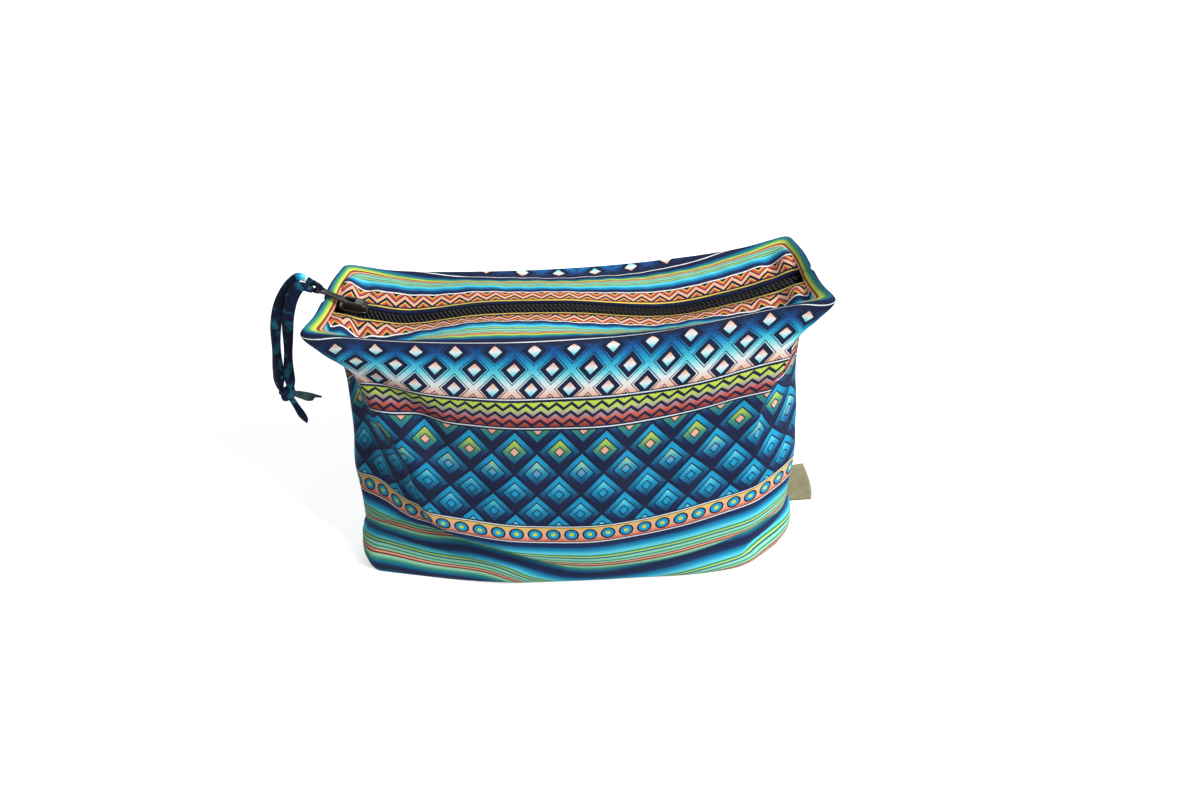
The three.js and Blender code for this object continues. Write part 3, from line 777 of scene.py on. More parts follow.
def strap_tail(name, length, widths, angle, curl):
    """An end of the strap pointing away from the knot; widths are (place, upper, lower) half widths."""
    reach = KNOT_SIZE.min() / 2 - TAIL_SUNK
    steps = np.linspace(0, 1, 40)
    ahead = np.array([math.cos(angle), 0, -math.sin(angle)])
    route = KNOT_PLACE + ahead * (reach + steps * (length + TAIL_MORE))[:, None]
    route = route + np.array([0, -1, 0]) * (curl * steps ** 2)[:, None]

    def section(place, turn):
        upper = smooth_column(widths, 1, place)
        lower = smooth_column(widths, 2, place)
        half = np.where(np.cos(turn) > 0, upper, lower)
        pleat = 1 + 0.25 * np.cos(6 * turn) * np.sin(math.pi * place)
        thin = (1.15 - 0.6 * place) * pleat
        return half * (1 + 0.04 * np.cos(5 * turn)), thin

    return swept_tube(name, route, section, sides=32, map_start=STRAP_MAP_FAR)


FIN = [(0, 1.4, 1.5), (0.3, 1.6, 3.0), (0.5, 1.5, 4.0), (0.68, 1.3, 3.4), (0.78, 1.0, 1.1),
       (1, 0.35, 0.4)]
ROLL = [(0, 1.4, 1.4), (0.35, 1.5, 1.7), (0.7, 1.9, 2.1), (0.86, 1.7, 1.5), (1, 0.4, 0.2)]
tail_side = strap_tail("strap_tail_side", length=12.0, widths=FIN, angle=math.radians(11), curl=1.0)
tail_down = strap_tail("strap_tail_down", length=15.0, widths=ROLL, angle=math.radians(75), curl=0.8)
print("knot of", KNOT_SIZE.tolist(), "mm with two tails")

# %% [markdown]
# The strap was cut from the printed cloth too, so only scraps of the design show: navy
# with a few dim teal patches, and one pale stripe near the eye. Soft noise in the strap's
# own map gives the patches. The fin shows the pale back of the cloth, with the shade it
# lies in painted in as dark grey-teal dyes.

# %% Cloth of the strap
PALE_STRIPE = (3.2, 6.6)  # along a strand, after a thin white line
WHITE_LINE = (2.4, 3.2)
PATCH_FROM = 0.44  # value of the noise where the first dye starts to change
PATCH_GAIN = 6.0


def strap_cloth(name, dyes, patch_scale):
    """Swim cloth in scraps of a few dyes, with the pale stripe at the start of a strand."""
    material, shader, shade = new_finish(
        name, Sheen_Weight=0.01, Sheen_Roughness=0.4, Specular_IOR_Level=0.1)
    around, along, mapped = own_map(shade)
    grain = spray_grain(shade, mapped)
    patch = noise(shade, mapped, patch_scale, 1.5)
    colour = sprayed((patch - PATCH_FROM) * PATCH_GAIN, dyes, grain)
    pale = sprayed(share(along, PALE_STRIPE), [AQUA, AQUA, TURQUOISE, BLUE], grain)
    colour = paint(colour, between(along, *PALE_STRIPE), pale)
    colour = paint(colour, between(along, *WHITE_LINE), CREAM)
    knit = wave(along, 0.5) * wave(around, 0.62)
    slub = noise(shade, mapped, 420.0, 3.0)
    rough = 0.62 + slub * 0.22
    plug(shader, shade, Base_Color=colour, Roughness=rough,
         Normal=bump(shade, knit * 0.35 + slub, 0.00006))
    return material


NAVY_SCRAPS = [dye("0a1328"), NAVY, dye("1d5f70")]
# The back of the cloth is pale: these dark grey-teal dyes are painted shade on it.
SHADED_BACK_SCRAPS = [dye("2a3a44"), dye("3d5058"), dye("5a6c70")]
STRAP_CLOTH = strap_cloth("strap_cloth", NAVY_SCRAPS, patch_scale=170.0)
STRAP_BACK_SHADED = strap_cloth("strap_back", SHADED_BACK_SCRAPS, patch_scale=90.0)
strap_pieces = [strand_outer, strand_inner, strap_bight, strap_knot, tail_side, tail_down]
for piece in strap_pieces:
    # The fin gets the cloth's back with painted shade, the other pieces the printed face.
    piece.data.materials.append(STRAP_BACK_SHADED if piece is tail_side else STRAP_CLOTH)
    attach(piece, "root")
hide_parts("pull_strand_outer")
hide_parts("pull_strand_inner")
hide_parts("pull_bight")
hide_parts("pull_knot")
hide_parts("pull_tail_side")
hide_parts("pull_tail_down")
print("strap pieces:", [piece.name for piece in strap_pieces])

# %% [markdown]
# The bag is two panels of cloth, front and back, sewn together at the sides and under the
# base, with the corners boxed so that it stands. It could be blown up by a cloth
# simulation, but the folds of this one are known: a sharp dent at the left end, a softer
# one at the right, a bulging front and two feet. So each panel is lofted through sections
# that follow the cloth down from the rim. A section runs from the left side seam over the
# corner and the fold to the middle, and over the other fold and corner to the right seam.

# %% Tables of the sections
FLOOR = 168.0  # cloth length from the rim to the floor
LEAN = -7.0  # the base stands to the left of the rim
SLOT = 7.6  # distance between the cloth edges at the zip
SEAM_GAP = 0.3
WALL = 1.2
# Cloth length below the rim, then x and z of the side seam.
SIDE_SEAM = [
    (0, 104.5, 155), (4, 107.5, 160), (8, 109.5, 159), (18, 110, 149.5), (32, 107.5, 135.5),
    (55, 106.5, 113.5), (85, 109, 84), (115, 112, 55), (135, 112, 35), (146, 112.5, 24),
    (156, 116, 14), (162, 116.5, 6), (168, 111, 0)]
# Cloth length below the rim, then x, y and z of the corner and of the fold beside it.
FRONT_LEFT = [
    (0, 105.5, 24, 158.5, 84, 25, 152.5), (4, 112.5, 29, 162.5, 84, 28.2, 153.5),
    (8, 114, 30, 160, 86, 29.2, 151), (18, 109, 27, 150.5, 96, 29.5, 142.5),
    (32, 102.5, 15, 137, 93, 28.8, 129), (45, 100, 9.5, 125, 91.5, 27, 117),
    (55, 99, 8, 115, 90, 26, 108), (70, 98, 8, 100, 87, 26, 92), (85, 98, 9, 85, 81.5, 28, 77),
    (100, 97.5, 11, 70, 79, 29, 62.5), (115, 98, 14, 55, 74, 30.5, 48),
    (125, 98.5, 17, 44, 64, 32.5, 37), (135, 99, 19, 33, 50, 34.5, 25.5),
    (141, 100, 18, 27, 43, 35.5, 18), (146, 100, 14, 22, 40, 36, 13),
    (152, 103, 14.5, 16.5, 41, 36.5, 9), (160, 110, 20, 8, 44, 36.5, 4.5),
    (168, 108, 19, 0, 46, 33, 0)]
FRONT_RIGHT = [
    (0, 105.5, 24, 158.5, 80, 25, 154.5), (4, 112.5, 29, 162, 80, 28.2, 155.5),
    (8, 114, 30, 159.5, 82, 29.2, 152.5), (18, 109, 27, 150, 93, 29.5, 143),
    (32, 104, 16, 136.5, 95, 29, 129.5), (55, 104, 13, 114.5, 90, 28.5, 106),
    (85, 108.5, 15, 84.5, 86, 31, 76), (115, 108.5, 18, 54.5, 82, 34.5, 47),
    (135, 105, 21, 32, 79, 37.5, 25), (146, 104, 20, 21.5, 77, 38.5, 13.5),
    (152, 103, 20, 16, 79, 39, 9.5), (160, 105, 24, 8, 82, 39.5, 5), (168, 101, 21.5, 0, 82, 36, 0)]
BACK_END = [
    (0, 99.5, 22, 159, 76, 22.5, 154), (4, 102.5, 25.5, 162, 76, 25.5, 155),
    (8, 104.5, 27, 159.5, 78, 27, 152.5), (18, 105, 26, 150, 80, 28, 143.5),
    (32, 104, 22, 136, 80, 29, 130), (55, 103, 19, 114, 78, 30, 108),
    (85, 103, 19, 84.5, 76, 31, 79), (115, 104, 21, 54.5, 76, 32, 50),
    (135, 106, 23, 33, 78, 32.5, 29), (146, 108, 24, 22, 80, 32.5, 19),
    (160, 110, 26, 8, 84, 31, 6.5), (168, 106, 23, 0, 82, 28, 0)]
# Cloth length below the rim, then x, y and z of the middle of the panel.
FRONT_MIDDLE = [
    (0, 14, 25.5, 143), (4, 14, 28.5, 142.5), (8, 14, 29.5, 139.5), (18, 12, 31, 130.5),
    (32, 9, 33, 118), (55, 6, 36, 96), (85, 3, 39.5, 68), (115, 1, 41.5, 40), (135, 0, 41.5, 21.5),
    (146, 0, 40.5, 12), (160, 0, 38, 3.5), (168, 0, 34, 0)]
BACK_MIDDLE = [
    (0, 5, 23, 150), (4, 5, 26, 150.5), (8, 5, 27.5, 148), (18, 4, 29, 138.5), (55, 2, 32, 104),
    (115, 0, 34, 46), (146, 0, 33, 17), (160, 0, 31.5, 5), (168, 0, 28, 0)]
# Cloth length below the rim, then how round the corners and folds are.
ROUNDNESS = [
    (0, 0.35, 0.9), (8, 0.35, 0.9), (20, 0.6, 0.5), (45, 1, 0.4), (60, 1, 0.3), (100, 1, 0.35),
    (120, 1, 0.8), (146, 0.6, 0.9), (154, 0.3, 0.9), (168, 0.22, 0.9)]
# Fold lines: places (u, cloth length below the rim), then the drop on the left of the line,
# how soon and how far it drops, and the lip on its right with its width.
FRONT_FOLDS = [
    ([(3.2, 126), (3.03, 117), (3.0, 107), (3.02, 86), (3.05, 73), (3.03, 66), (2.98, 59), (2.75, 54),
      (2.2, 56), (1.4, 62)], 3.4, 3.2, 13, 0.8, 12),
    ([(3.3, 82), (3.26, 70), (3.24, 61), (3.22, 52), (3.18, 42), (3.1, 35), (3.0, 28.5), (2.88, 23),
      (2.58, 17)], 0, 9, 9, -3.2, 7),
    ([(3.85, 139), (3.66, 136), (3.48, 131.6), (3.35, 127), (3.15, 124), (2.91, 122), (2.44, 124),
      (1.99, 128.3), (0.84, 137.7)], 4.2, 2.2, 10, 2.8, 12),
    ([(5.7, 19), (5.42, 25), (5.16, 33), (5.03, 45), (4.99, 57), (5.0, 70), (5.05, 86)],
     3.4, 2.2, 10, 1.2, 8),
    ([(6.65, 143), (5.74, 134.3), (5.3, 132.3), (4.88, 135.7), (4.5, 140), (4.15, 141.5)],
     2.0, 2.2, 9, 1.4, 10),
    ([(6.3, 146), (5.72, 146), (5.39, 146), (5.28, 151), (5.25, 157)], 2.0, 2.5, 8, 0.8, 6),
]
FRONT = dict(name="front", sign=-1, left=FRONT_LEFT, right=FRONT_RIGHT, middle=FRONT_MIDDLE,
             folds=FRONT_FOLDS, slip=(15.0, 60.0, 4.0), pull=(88.0, 103.0))
BACK = dict(name="back", sign=1, left=BACK_END, right=BACK_END, middle=BACK_MIDDLE, folds=[],
            slip=(8.0, 48.0, 11.0), pull=(50.0, 98.0))
print("sections:", len(FRONT_LEFT), "rows in front,", len(BACK_END), "at the back")

# %% [markdown]
# Each section has nine guide points, and a place in it is a number u from 0 to 8. Between
# the points the cloth is straight, and at a point an arc replaces as much of the straight
# lines as the table of roundness says. So one section can have sharp and soft corners.

# %% Points of a section
SIDE_OUT = 0.8  # how much of the seam's x the point between seam and corner keeps
SIDE_ROUND = 0.8
BACK_FOLD_ROUND = 0.9


def section_guides(panel, downs):
    """The nine guide points of each section and how round the section is at each of them."""
    sign = panel["sign"]
    shift = LEAN * downs / FLOOR
    guides = np.zeros((len(downs), 9, 3))
    for hand, rows, order in ((-1, panel["left"], (0, 1, 2, 3)), (1, panel["right"], (8, 7, 6, 5))):
        read = [smooth_column(rows, column, downs) for column in range(1, 7)]
        corner = np.column_stack([hand * read[0] + shift, sign * read[1], read[2]])
        fold = np.column_stack([hand * read[3] + shift, sign * read[4], read[5]])
        seam_x = hand * smooth_column(SIDE_SEAM, 1, downs) + shift
        seam_y = np.full(len(downs), sign * SEAM_GAP / 2)
        seam = np.column_stack([seam_x, seam_y, smooth_column(SIDE_SEAM, 2, downs)])
        side = (seam + corner) / 2
        side[:, 0] = SIDE_OUT * seam[:, 0] + (1 - SIDE_OUT) * corner[:, 0]
        for place, points in zip(order, (seam, side, corner, fold)):
            guides[:, place] = points
    middle = [smooth_column(panel["middle"], column, downs) for column in (1, 2, 3)]
    guides[:, 4] = np.column_stack([middle[0] + shift, sign * middle[1], middle[2]])
    flat, full = np.zeros(len(downs)), np.ones(len(downs))
    corner_round = smooth_column(ROUNDNESS, 1, downs)
    fold_round = smooth_column(ROUNDNESS, 2, downs) if sign < 0 else full * BACK_FOLD_ROUND
    left_half = [flat, full * SIDE_ROUND, corner_round, fold_round]
    return guides, np.column_stack(left_half + [full] + left_half[::-1])


def section_point(guides, rounding, u):
    """Points of all sections at the same place u, with an arc at each inner guide point."""
    near = min(max(int(u + 0.5), 1), 7)
    first = min(int(u), 7)
    half = rounding[:, near:near + 1] / 2
    straight = guides[:, first] + (guides[:, first + 1] - guides[:, first]) * (u - first)
    peak = guides[:, near]
    start = peak + (guides[:, near - 1] - peak) * half
    end = peak + (guides[:, near + 1] - peak) * half
    t = (u - near + half) / np.maximum(2 * half, 1e-9)
    arc = (1 - t) ** 2 * start + 2 * t * (1 - t) * peak + t * t * end
    return np.where((abs(u - near) <= half) & (half > 0), arc, straight)


seam_foot = section_point(*section_guides(FRONT, np.array([FLOOR])), 0.0)[0]
print("the left side seam meets the floor at", [round(float(v), 1) for v in seam_foot])

# %% [markdown]
# The top is slack: it sags to the zip, and folds and small puckers cross it. Each fold is a
# soft hump or hollow, and all of them are added up. The half of the top, and that of the
# base, is a patch between the edge of the wall and a straight inner edge.

# %% Top and base patches
TOP_PUCKER = 0.45
PUCKER_FINE = (2.6, 4.0)  # steepness of the fine puckers along x and y
PUCKER_GROUPS = 5.3  # and of the wave that groups them
# Folds of the top: x, y, half length, half width and height.
TOP_FOLDS = [
    (-88, -19, 20, 6, -8.5), (86, -19, 24, 6, -7.5), (-30, -15, 26, 7, 1.8), (34, -15, 30, 7, -2),
    (-60, 14, 40, 7, 2.2), (40, 14, 50, 7, 2.5)]
# At both ends the cloth stands up in a roll, with a gutter on the side of the zip.
END_ROLLS = []
for end in (-1, 1):
    for side in (-1, 1):
        END_ROLLS += [(100 * end, 13 * side, 3.6, 10, 2.4), (93 * end, 13 * side, 3.4, 10, -1.8)]


def top_lift(points):
    lift = 0
    for x, y, along, across, height in TOP_FOLDS + END_ROLLS:
        far = ((points[:, 0] - x) / along) ** 2 + ((points[:, 1] - y) / across) ** 2
        lift = lift + height * np.exp(-far)
    fine = np.sin(points[:, 0] / PUCKER_FINE[0] + points[:, 1] / PUCKER_FINE[1])
    groups = np.sin(points[:, 0] / PUCKER_GROUPS + 1)
    return lift + TOP_PUCKER * fine * groups


def patch_grid(ring, corner, rows, inner_edge, lift):
    """Points from the corner-to-corner edge of a ring to a straight inner edge."""
    last = len(ring) - 1
    front = ring[corner:last - corner + 1]
    left = ring[corner - rows:corner + 1][::-1]
    right = ring[last - corner:last - corner + rows + 1]
    share = (front[:, 0] - front[0, 0]) / (front[-1, 0] - front[0, 0])
    target = inner_edge(left[-1, 0] + (right[-1, 0] - left[-1, 0]) * share)
    grid = [front]
    for k in range(1, rows + 1):
        q = k / rows
        row = front + (target - front) * q
        left_miss = left[k] - (left[0] + (left[-1] - left[0]) * q)
        right_miss = right[k] - (right[0] + (right[-1] - right[0]) * q)
        row = row + left_miss * (1 - share)[:, None] + right_miss * share[:, None]
        row[:, 2] += lift(row) * math.sin(math.pi * q)
        row[0], row[-1] = left[k], right[k]
        grid.append(row)
    return np.array(grid)


print("the top has", len(TOP_FOLDS), "folds and", len(END_ROLLS), "humps and gutters at its ends")

# %% [markdown]
# A panel is one grid of points for its wall, and the two patches. The map counts cloth
# lengths along the real surface, from the middle and from the rim, so the print runs over
# the rim and into the dents as printed cloth does. Sewing shifts the print a little: it
# slides over the rim, is pulled in at both ends, and evens out towards the base.

# %% Panel grids with their cloth map
SEAM_STEPS = 3  # grid steps from a side seam to the end of the zip slot
SIDE_STEPS = 16
FOLD_STEPS = 34
MIDDLE_STEPS = 40
RIM_BEND = 10.0  # cloth length with closer rows, where the cloth bends over the rim
RIM_ROWS = 13
WALL_ROWS = 128
COUNT_FROM = 8.0  # below this the map counts lengths on the surface
TOP_PRINT = 0.96 * RIM_AT  # length of the print between the rim and the zip
PRINT_CALM = 14.0  # width over which the print evens out near the base
CALM_ROW = -20  # the row of the wall, from the base up, in which that width is measured
CALM_FADE = (60, 120)  # cloth lengths between which the evening out sets in
END_PULL = 5.5  # how far the print is pulled in over the rim at both ends
PULL_FADE = (10, 45)  # cloth lengths between which the pull fades out


def lengths_from(grid, start, axis):
    """Signed length along one direction of a grid, counted from a row or column of it."""
    step = np.linalg.norm(np.diff(grid, axis=axis), axis=2)
    none = np.zeros_like(np.take(step, [0], axis=axis))
    walked = np.concatenate([none, np.cumsum(step, axis=axis)], axis=axis)
    return walked - np.take(walked, [start], axis=axis)


def calmed(lengths, places, weight):
    """Lengths evened out along the rows of a grid, as far as the weight of each row says."""
    far = (places[:, None] - places[None]) / PRINT_CALM
    share = np.exp(-far ** 2 / 2) * np.gradient(places)[None]
    share /= share.sum(axis=1, keepdims=True)
    return lengths + weight[:, None] * (lengths @ share.T - lengths)


def print_slip(panel, x):
    """How far the print has slid over the rim: the slack middle of the top is pulled outwards."""
    middle, reach, most = panel["slip"]
    return most * np.exp(-((x - middle) / reach) ** 2)


def panel_grids(panel):
    """Wall, top and base of one panel as grids of points, each with its cloth map."""
    sign = panel["sign"]
    near_rim = np.linspace(0, RIM_BEND, RIM_ROWS)
    downs = np.unique(np.concatenate([near_rim, np.linspace(RIM_BEND, FLOOR, WALL_ROWS)]))
    guides, rounding = section_guides(panel, downs)
    zip_u = SLOT / abs(section_point(guides, rounding, 0.5)[0, 1]) / 4
    half = np.concatenate([
        np.linspace(0, zip_u, SEAM_STEPS + 1), np.linspace(zip_u, 2, SIDE_STEPS + 1)[1:],
        np.linspace(2, 3, FOLD_STEPS + 1)[1:], np.linspace(3, 4, MIDDLE_STEPS + 1)[1:]])
    columns = np.concatenate([half, 8 - half[-2::-1]])
    wall = np.stack([section_point(guides, rounding, u) for u in columns], axis=1)
    corner = SEAM_STEPS + SIDE_STEPS
    middle = len(half) - 1

    def zip_edge(x):
        return np.column_stack([x, np.full_like(x, sign * SLOT / 2), zip_height(x)])

    def base_edge(x):
        return np.column_stack([x, np.full_like(x, sign * SEAM_GAP / 2), np.zeros_like(x)])

    top = patch_grid(wall[0], corner, SIDE_STEPS, zip_edge, top_lift)
    base = patch_grid(wall[-1], corner, corner, base_edge, lambda row: np.zeros(len(row)))
    start = int(np.searchsorted(downs, COUNT_FROM))
    wall_down = lengths_from(wall, start, 0) + downs[start]
    wall_down[:start] = downs[:start, None]
    calm_places = lengths_from(wall, middle, 1)[CALM_ROW]
    wall_down = calmed(wall_down, calm_places, eased(downs, *CALM_FADE))
    slip = print_slip(panel, wall[0, :, 0])
    pull = END_PULL * eased(abs(wall[0, :, 0]), *panel["pull"])
    wall_down = wall_down + slip - pull * (1 - eased(downs, *PULL_FADE))[:, None]
    slip = slip - pull
    top_walk = lengths_from(top, 0, 0)
    top_slip = slip[corner:len(columns) - corner]
    top_down = top_slip - (TOP_PRINT + top_slip) * top_walk / top_walk[-1:]
    base_down = lengths_from(base, 0, 0) + wall_down[-1, corner:len(columns) - corner]
    maps = []
    for grid, below, centre in ((wall, wall_down, middle), (top, top_down, middle - corner),
                                (base, base_down, middle - corner)):
        maps.append(np.stack([lengths_from(grid, centre, 1), below + RIM_AT], axis=2))
    return (wall, top, base), maps, corner


print("a panel's wall has", RIM_ROWS + WALL_ROWS - 1, "rows")

# %% [markdown]
# Grids become a mesh by numbering their points: each cell is one face, and each corner of
# a face gets its place in the map. The patches share the points of the wall's edge, so the
# cloth has no gap at the rim and at the floor.

# %% Panel meshes
def grid_faces(index, cloth, turned=False):
    """Faces of a grid of point numbers, and the map of their corners."""
    corners = [index[:-1, :-1], index[:-1, 1:], index[1:, 1:], index[1:, :-1]]
    places = [cloth[:-1, :-1], cloth[:-1, 1:], cloth[1:, 1:], cloth[1:, :-1]]
    if turned:
        corners.reverse()
        places.reverse()
    return np.stack(corners, axis=2).reshape(-1, 4), np.stack(places, axis=2).reshape(-1, 2)


def numbered(grid):
    """A number for each point of a grid, row by row."""
    rows, columns = grid.shape[:2]
    return np.arange(rows * columns).reshape(rows, columns)


def panel_mesh_data(panel):
    """Shared points, faces and face-corner map of a panel's outer surface."""
    (wall, top, base), maps, corner = panel_grids(panel)
    columns = wall.shape[1]
    wall_index = numbered(wall)
    points = [wall.reshape(-1, 3)]
    count = wall_index.size
    indices = [wall_index]
    for grid, ring in ((top, wall_index[0]), (base, wall_index[-1])):
        steps, width = grid.shape[0] - 1, grid.shape[1]
        index = np.zeros((steps + 1, width), dtype=int)
        index[0] = ring[corner:columns - corner]
        index[1:, 0] = ring[corner - steps:corner][::-1]
        index[1:, -1] = ring[columns - corner:columns - corner + steps]
        inner = steps * (width - 2)
        index[1:, 1:-1] = count + np.arange(inner).reshape(steps, width - 2)
        points.append(grid[1:, 1:-1].reshape(-1, 3))
        count += inner
        indices.append(index)
    faces, corner_map = [], []
    for index, cloth, is_top in zip(indices, maps, (False, True, False)):
        grid_part, map_part = grid_faces(index, cloth, is_top == (panel["sign"] > 0))
        faces.append(grid_part)
        corner_map.append(map_part)
    return np.vstack(points), np.vstack(faces), np.vstack(corner_map), indices


def point_normals(points, faces):
    normals = np.zeros_like(points)
    across = points[faces[:, 2]] - points[faces[:, 0]]
    other = points[faces[:, 3]] - points[faces[:, 1]]
    face_normals = np.cross(across, other)
    for k in range(4):
        np.add.at(normals, faces[:, k], face_normals)
    return normals / np.maximum(np.linalg.norm(normals, axis=1, keepdims=True), 1e-12)


print("grids become meshes with shared edges")

# %% [markdown]
# The smooth loft has no sharp creases yet. A crease is drawn as a line on the cloth, and the
# cloth beside it is moved along its normals: it drops on one side of the line and keeps a
# soft lip on the other. Slack cloth also waves a little, a side seam pulls its edge in, and
# the turned edge at the zip rolls.

# %% Creases, slack and seams
FOLD_POINTS = 70
FOLD_FADE = 0.9  # power of the sine that fades a crease towards its ends
FOLD_PAST = 5.0  # how far a crease runs on past its ends
SLACK = 0.5  # height of the soft waves in the walls
SLACK_LOW = 25.0  # the waves grow over this height above the floor
SLACK_HIGH = (145.0, 30.0)  # the height where they end, and the length over which they fade
WAVE_ONE = (10.0, 15.0)  # two slanted waves cross: their steepness along x and z
WAVE_TWO = (-24.0, 12.0)
SEAM_PINCH = (0.9, 0.35)  # how far a side seam pulls in the two rows of cloth beside it
SEAM_ENDS = 6  # rows at both ends of a side seam that stay
ZIP_ROLL = (-0.5, 0.3)  # lift of the turned edge at the zip and of the row beside it
ZIP_ENDS = 2  # points at both ends of that edge that stay


def fold_moves(points, normals, line, depth, edge, reach, lip, soft):
    """How far each point moves out along a fold line: a soft lip, then a drop on its left."""
    line = smooth_route(line, FOLD_POINTS)
    ahead = np.gradient(line, axis=0)
    ahead /= np.linalg.norm(ahead, axis=1, keepdims=True)
    offset = points[:, None] - line[None]
    nearest = np.argmin(np.einsum("ijk,ijk->ij", offset, offset), axis=1)
    offset = offset[np.arange(len(points)), nearest]
    beside = np.cross(ahead[nearest], offset)
    side = np.sign(np.einsum("ij,ij->i", beside, normals)) * np.linalg.norm(beside, axis=1)
    past = np.abs(np.einsum("ij,ij->i", offset, ahead[nearest]))
    place = nearest / (len(line) - 1)
    fade = np.sin(math.pi * np.clip(place, 0, 1)) ** FOLD_FADE * np.exp(-(past / FOLD_PAST) ** 2)
    rise = lip * np.exp(-(side / np.where(side > 0, edge, soft)) ** 2)
    drop = depth * (1 - np.exp(-(side / edge) ** 2)) * np.exp(-(side / reach) ** 2)
    return fade * (rise - np.where(side > 0, drop, 0))


def slack_waves(points):
    """Soft waves of slack cloth, none near the floor and near the rim."""
    x, z = points[:, 0], points[:, 2]
    high, length = SLACK_HIGH
    calm = np.clip(z / SLACK_LOW, 0, 1) * np.clip((high - z) / length, 0, 1)
    one = np.sin(x / WAVE_ONE[0] + z / WAVE_ONE[1])
    two = np.sin(x / WAVE_TWO[0] + z / WAVE_TWO[1])
    return SLACK * calm * one * two


def sewn_points(points, normals, indices):
    """Pull the cloth in along the side seams and roll its edge at the zip."""
    wall, top = indices[:2]
    inwards = normals * [1, 0, 1]
    for row, (pinch, roll) in enumerate(zip(SEAM_PINCH, ZIP_ROLL)):
        for column in (row, -1 - row):
            beside = wall[SEAM_ENDS:-SEAM_ENDS, column]
            points[beside] -= inwards[beside] * pinch
        points[top[-1 - row, ZIP_ENDS:-ZIP_ENDS], 2] += roll
    return points


def folded_points(panel, points, faces, indices):
    """Move the points of a panel along its fold lines, seams and slack waves."""
    normals = point_normals(points, faces)
    moves = slack_waves(points)
    for places, *profile in panel["folds"]:
        guides, rounding = section_guides(panel, np.array([down for u, down in places], dtype=float))
        line = [section_point(guides, rounding, u)[i] for i, (u, down) in enumerate(places)]
        moves += fold_moves(points, normals, line, *profile)
    return sewn_points(points + normals * moves[:, None], normals, indices)


print("the front has", len(FRONT_FOLDS), "creases")

# %% [markdown]
# A Solidify modifier gives the outer surface its thickness, inwards, so that the cloth also
# has an inner face and real edges. Both panels were cut from flat cloth: a rectangle with
# the four corners left out for the boxing.


def thickened(piece, thickness, offset):
    """A piece as a plain mesh, after its surface was given a thickness."""
    layer = piece.modifiers.new("thickness", "SOLIDIFY")
    layer.thickness = thickness * MM
    layer.offset = offset
    return settle(piece)


def cloth_panel(panel):
    points, faces, corner_map, indices = panel_mesh_data(panel)
    points = folded_points(panel, points, faces, indices)
    piece = new_piece(f"cloth_{panel['name']}", points, faces, corner_map)
    piece.data.materials.append(PANEL_CLOTH)
    return thickened(piece, WALL, -1.0), points, faces, indices


panels = {}
for panel in (FRONT, BACK):
    piece, points, faces, indices = cloth_panel(panel)
    panels[panel["name"]] = (piece, points, faces, indices)
    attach(piece, "root")
    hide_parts(f"{panel['name']}_panel")
    print(piece.name, len(piece.data.polygons), "faces")

# %% [markdown]
# Under the cloth edges lie the two zip tapes, woven strips that carry the teeth. A tape
# follows the inner side of its panel's top, so it is made from the same grid, moved in by
# the wall and a small gap.

# %% Zip tapes
TAPE_ROWS = 8
TAPE_THICK = 0.6
TAPE_EDGE = 3.0  # from the middle of the zip to the inner edge of a tape


def zip_tape(panel):
    piece, points, faces, indices = panels[panel["name"]]
    normals = point_normals(points, faces)
    rows = indices[1][-TAPE_ROWS:, 1:-1]
    grid = points[rows] - normals[rows] * (WALL + SEAM_GAP)
    inner = grid[-1:].copy()
    inner[..., 1] = panel["sign"] * TAPE_EDGE
    grid = np.concatenate([grid, inner])
    cloth = np.stack([lengths_from(grid, 0, 1), lengths_from(grid, 0, 0)], axis=2)
    tape_faces, corner_map = grid_faces(numbered(grid), cloth, panel["sign"] > 0)
    tape = new_piece(f"tape_{panel['name']}", grid.reshape(-1, 3), tape_faces, corner_map)
    size = (np.ptp(cloth[..., 0].mean(axis=0)), np.ptp(cloth[..., 1].mean(axis=1)))
    return thickened(tape, TAPE_THICK, -1.0), size


def tape_weave():
    """Black twill: fine slanted ribs that catch a little light."""
    material, shader, shade = new_finish("zip_tape", Sheen_Weight=0.1, Specular_IOR_Level=0.3)
    along, across, mapped = own_map(shade)
    rib = wave(along + across, 0.9)
    lint = noise(shade, mapped, 700.0, 3.0)
    colour = ramp(lint, [(0.3, dye("0c0e1a")), (0.75, dye("1b1f33"))])
    plug(shader, shade, Base_Color=colour, Roughness=0.7 + lint * 0.2,
         Normal=bump(shade, rib + lint, 0.0001))
    return material


TAPE_WEAVE = tape_weave()
for panel in (FRONT, BACK):
    tape, size = zip_tape(panel)
    tape.data.materials.append(TAPE_WEAVE)
    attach(tape, "root")
    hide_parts(f"zip_tape_{panel['name']}")
    size[0] * MM
    size[1] * MM
    print(tape.name, "is", [round(float(side), 1) for side in size], "mm")

# %% [markdown]
# The coil's plastic is dyed black in the mass. It is smooth enough to show a soft glint
# on each turn, and rubbing by the slider leaves it a little uneven.

# %% Plastic of the coils
def coil_plastic():
    material, shader, shade = new_finish("zip_coil", Specular_IOR_Level=0.3)
    rub = noise(shade, object_place(shade), 900.0, 3.0)
    colour = ramp(rub, [(0.3, dye("08080a")), (0.75, dye("1c1d20"))])
    plug(shader, shade, Base_Color=colour, Roughness=0.4 + rub * 0.25,
         Normal=bump(shade, rub, 0.00005))
    return material


COIL_PLASTIC = coil_plastic()
print("coil plastic has", len(COIL_PLASTIC.node_tree.nodes), "nodes")

# %% [markdown]
# The closed zip shows a rope of slanted black ribs: the turns of two nylon coils that
# grip each other. One turn is a small rounded bar. Copying it in Python would work, but
# Geometry Nodes keep the rule in one place: the tree resamples a curve at the pitch, puts
# a turn on each point, turns it along the curve, and makes the copies real, so that they
# stay as plain geometry.

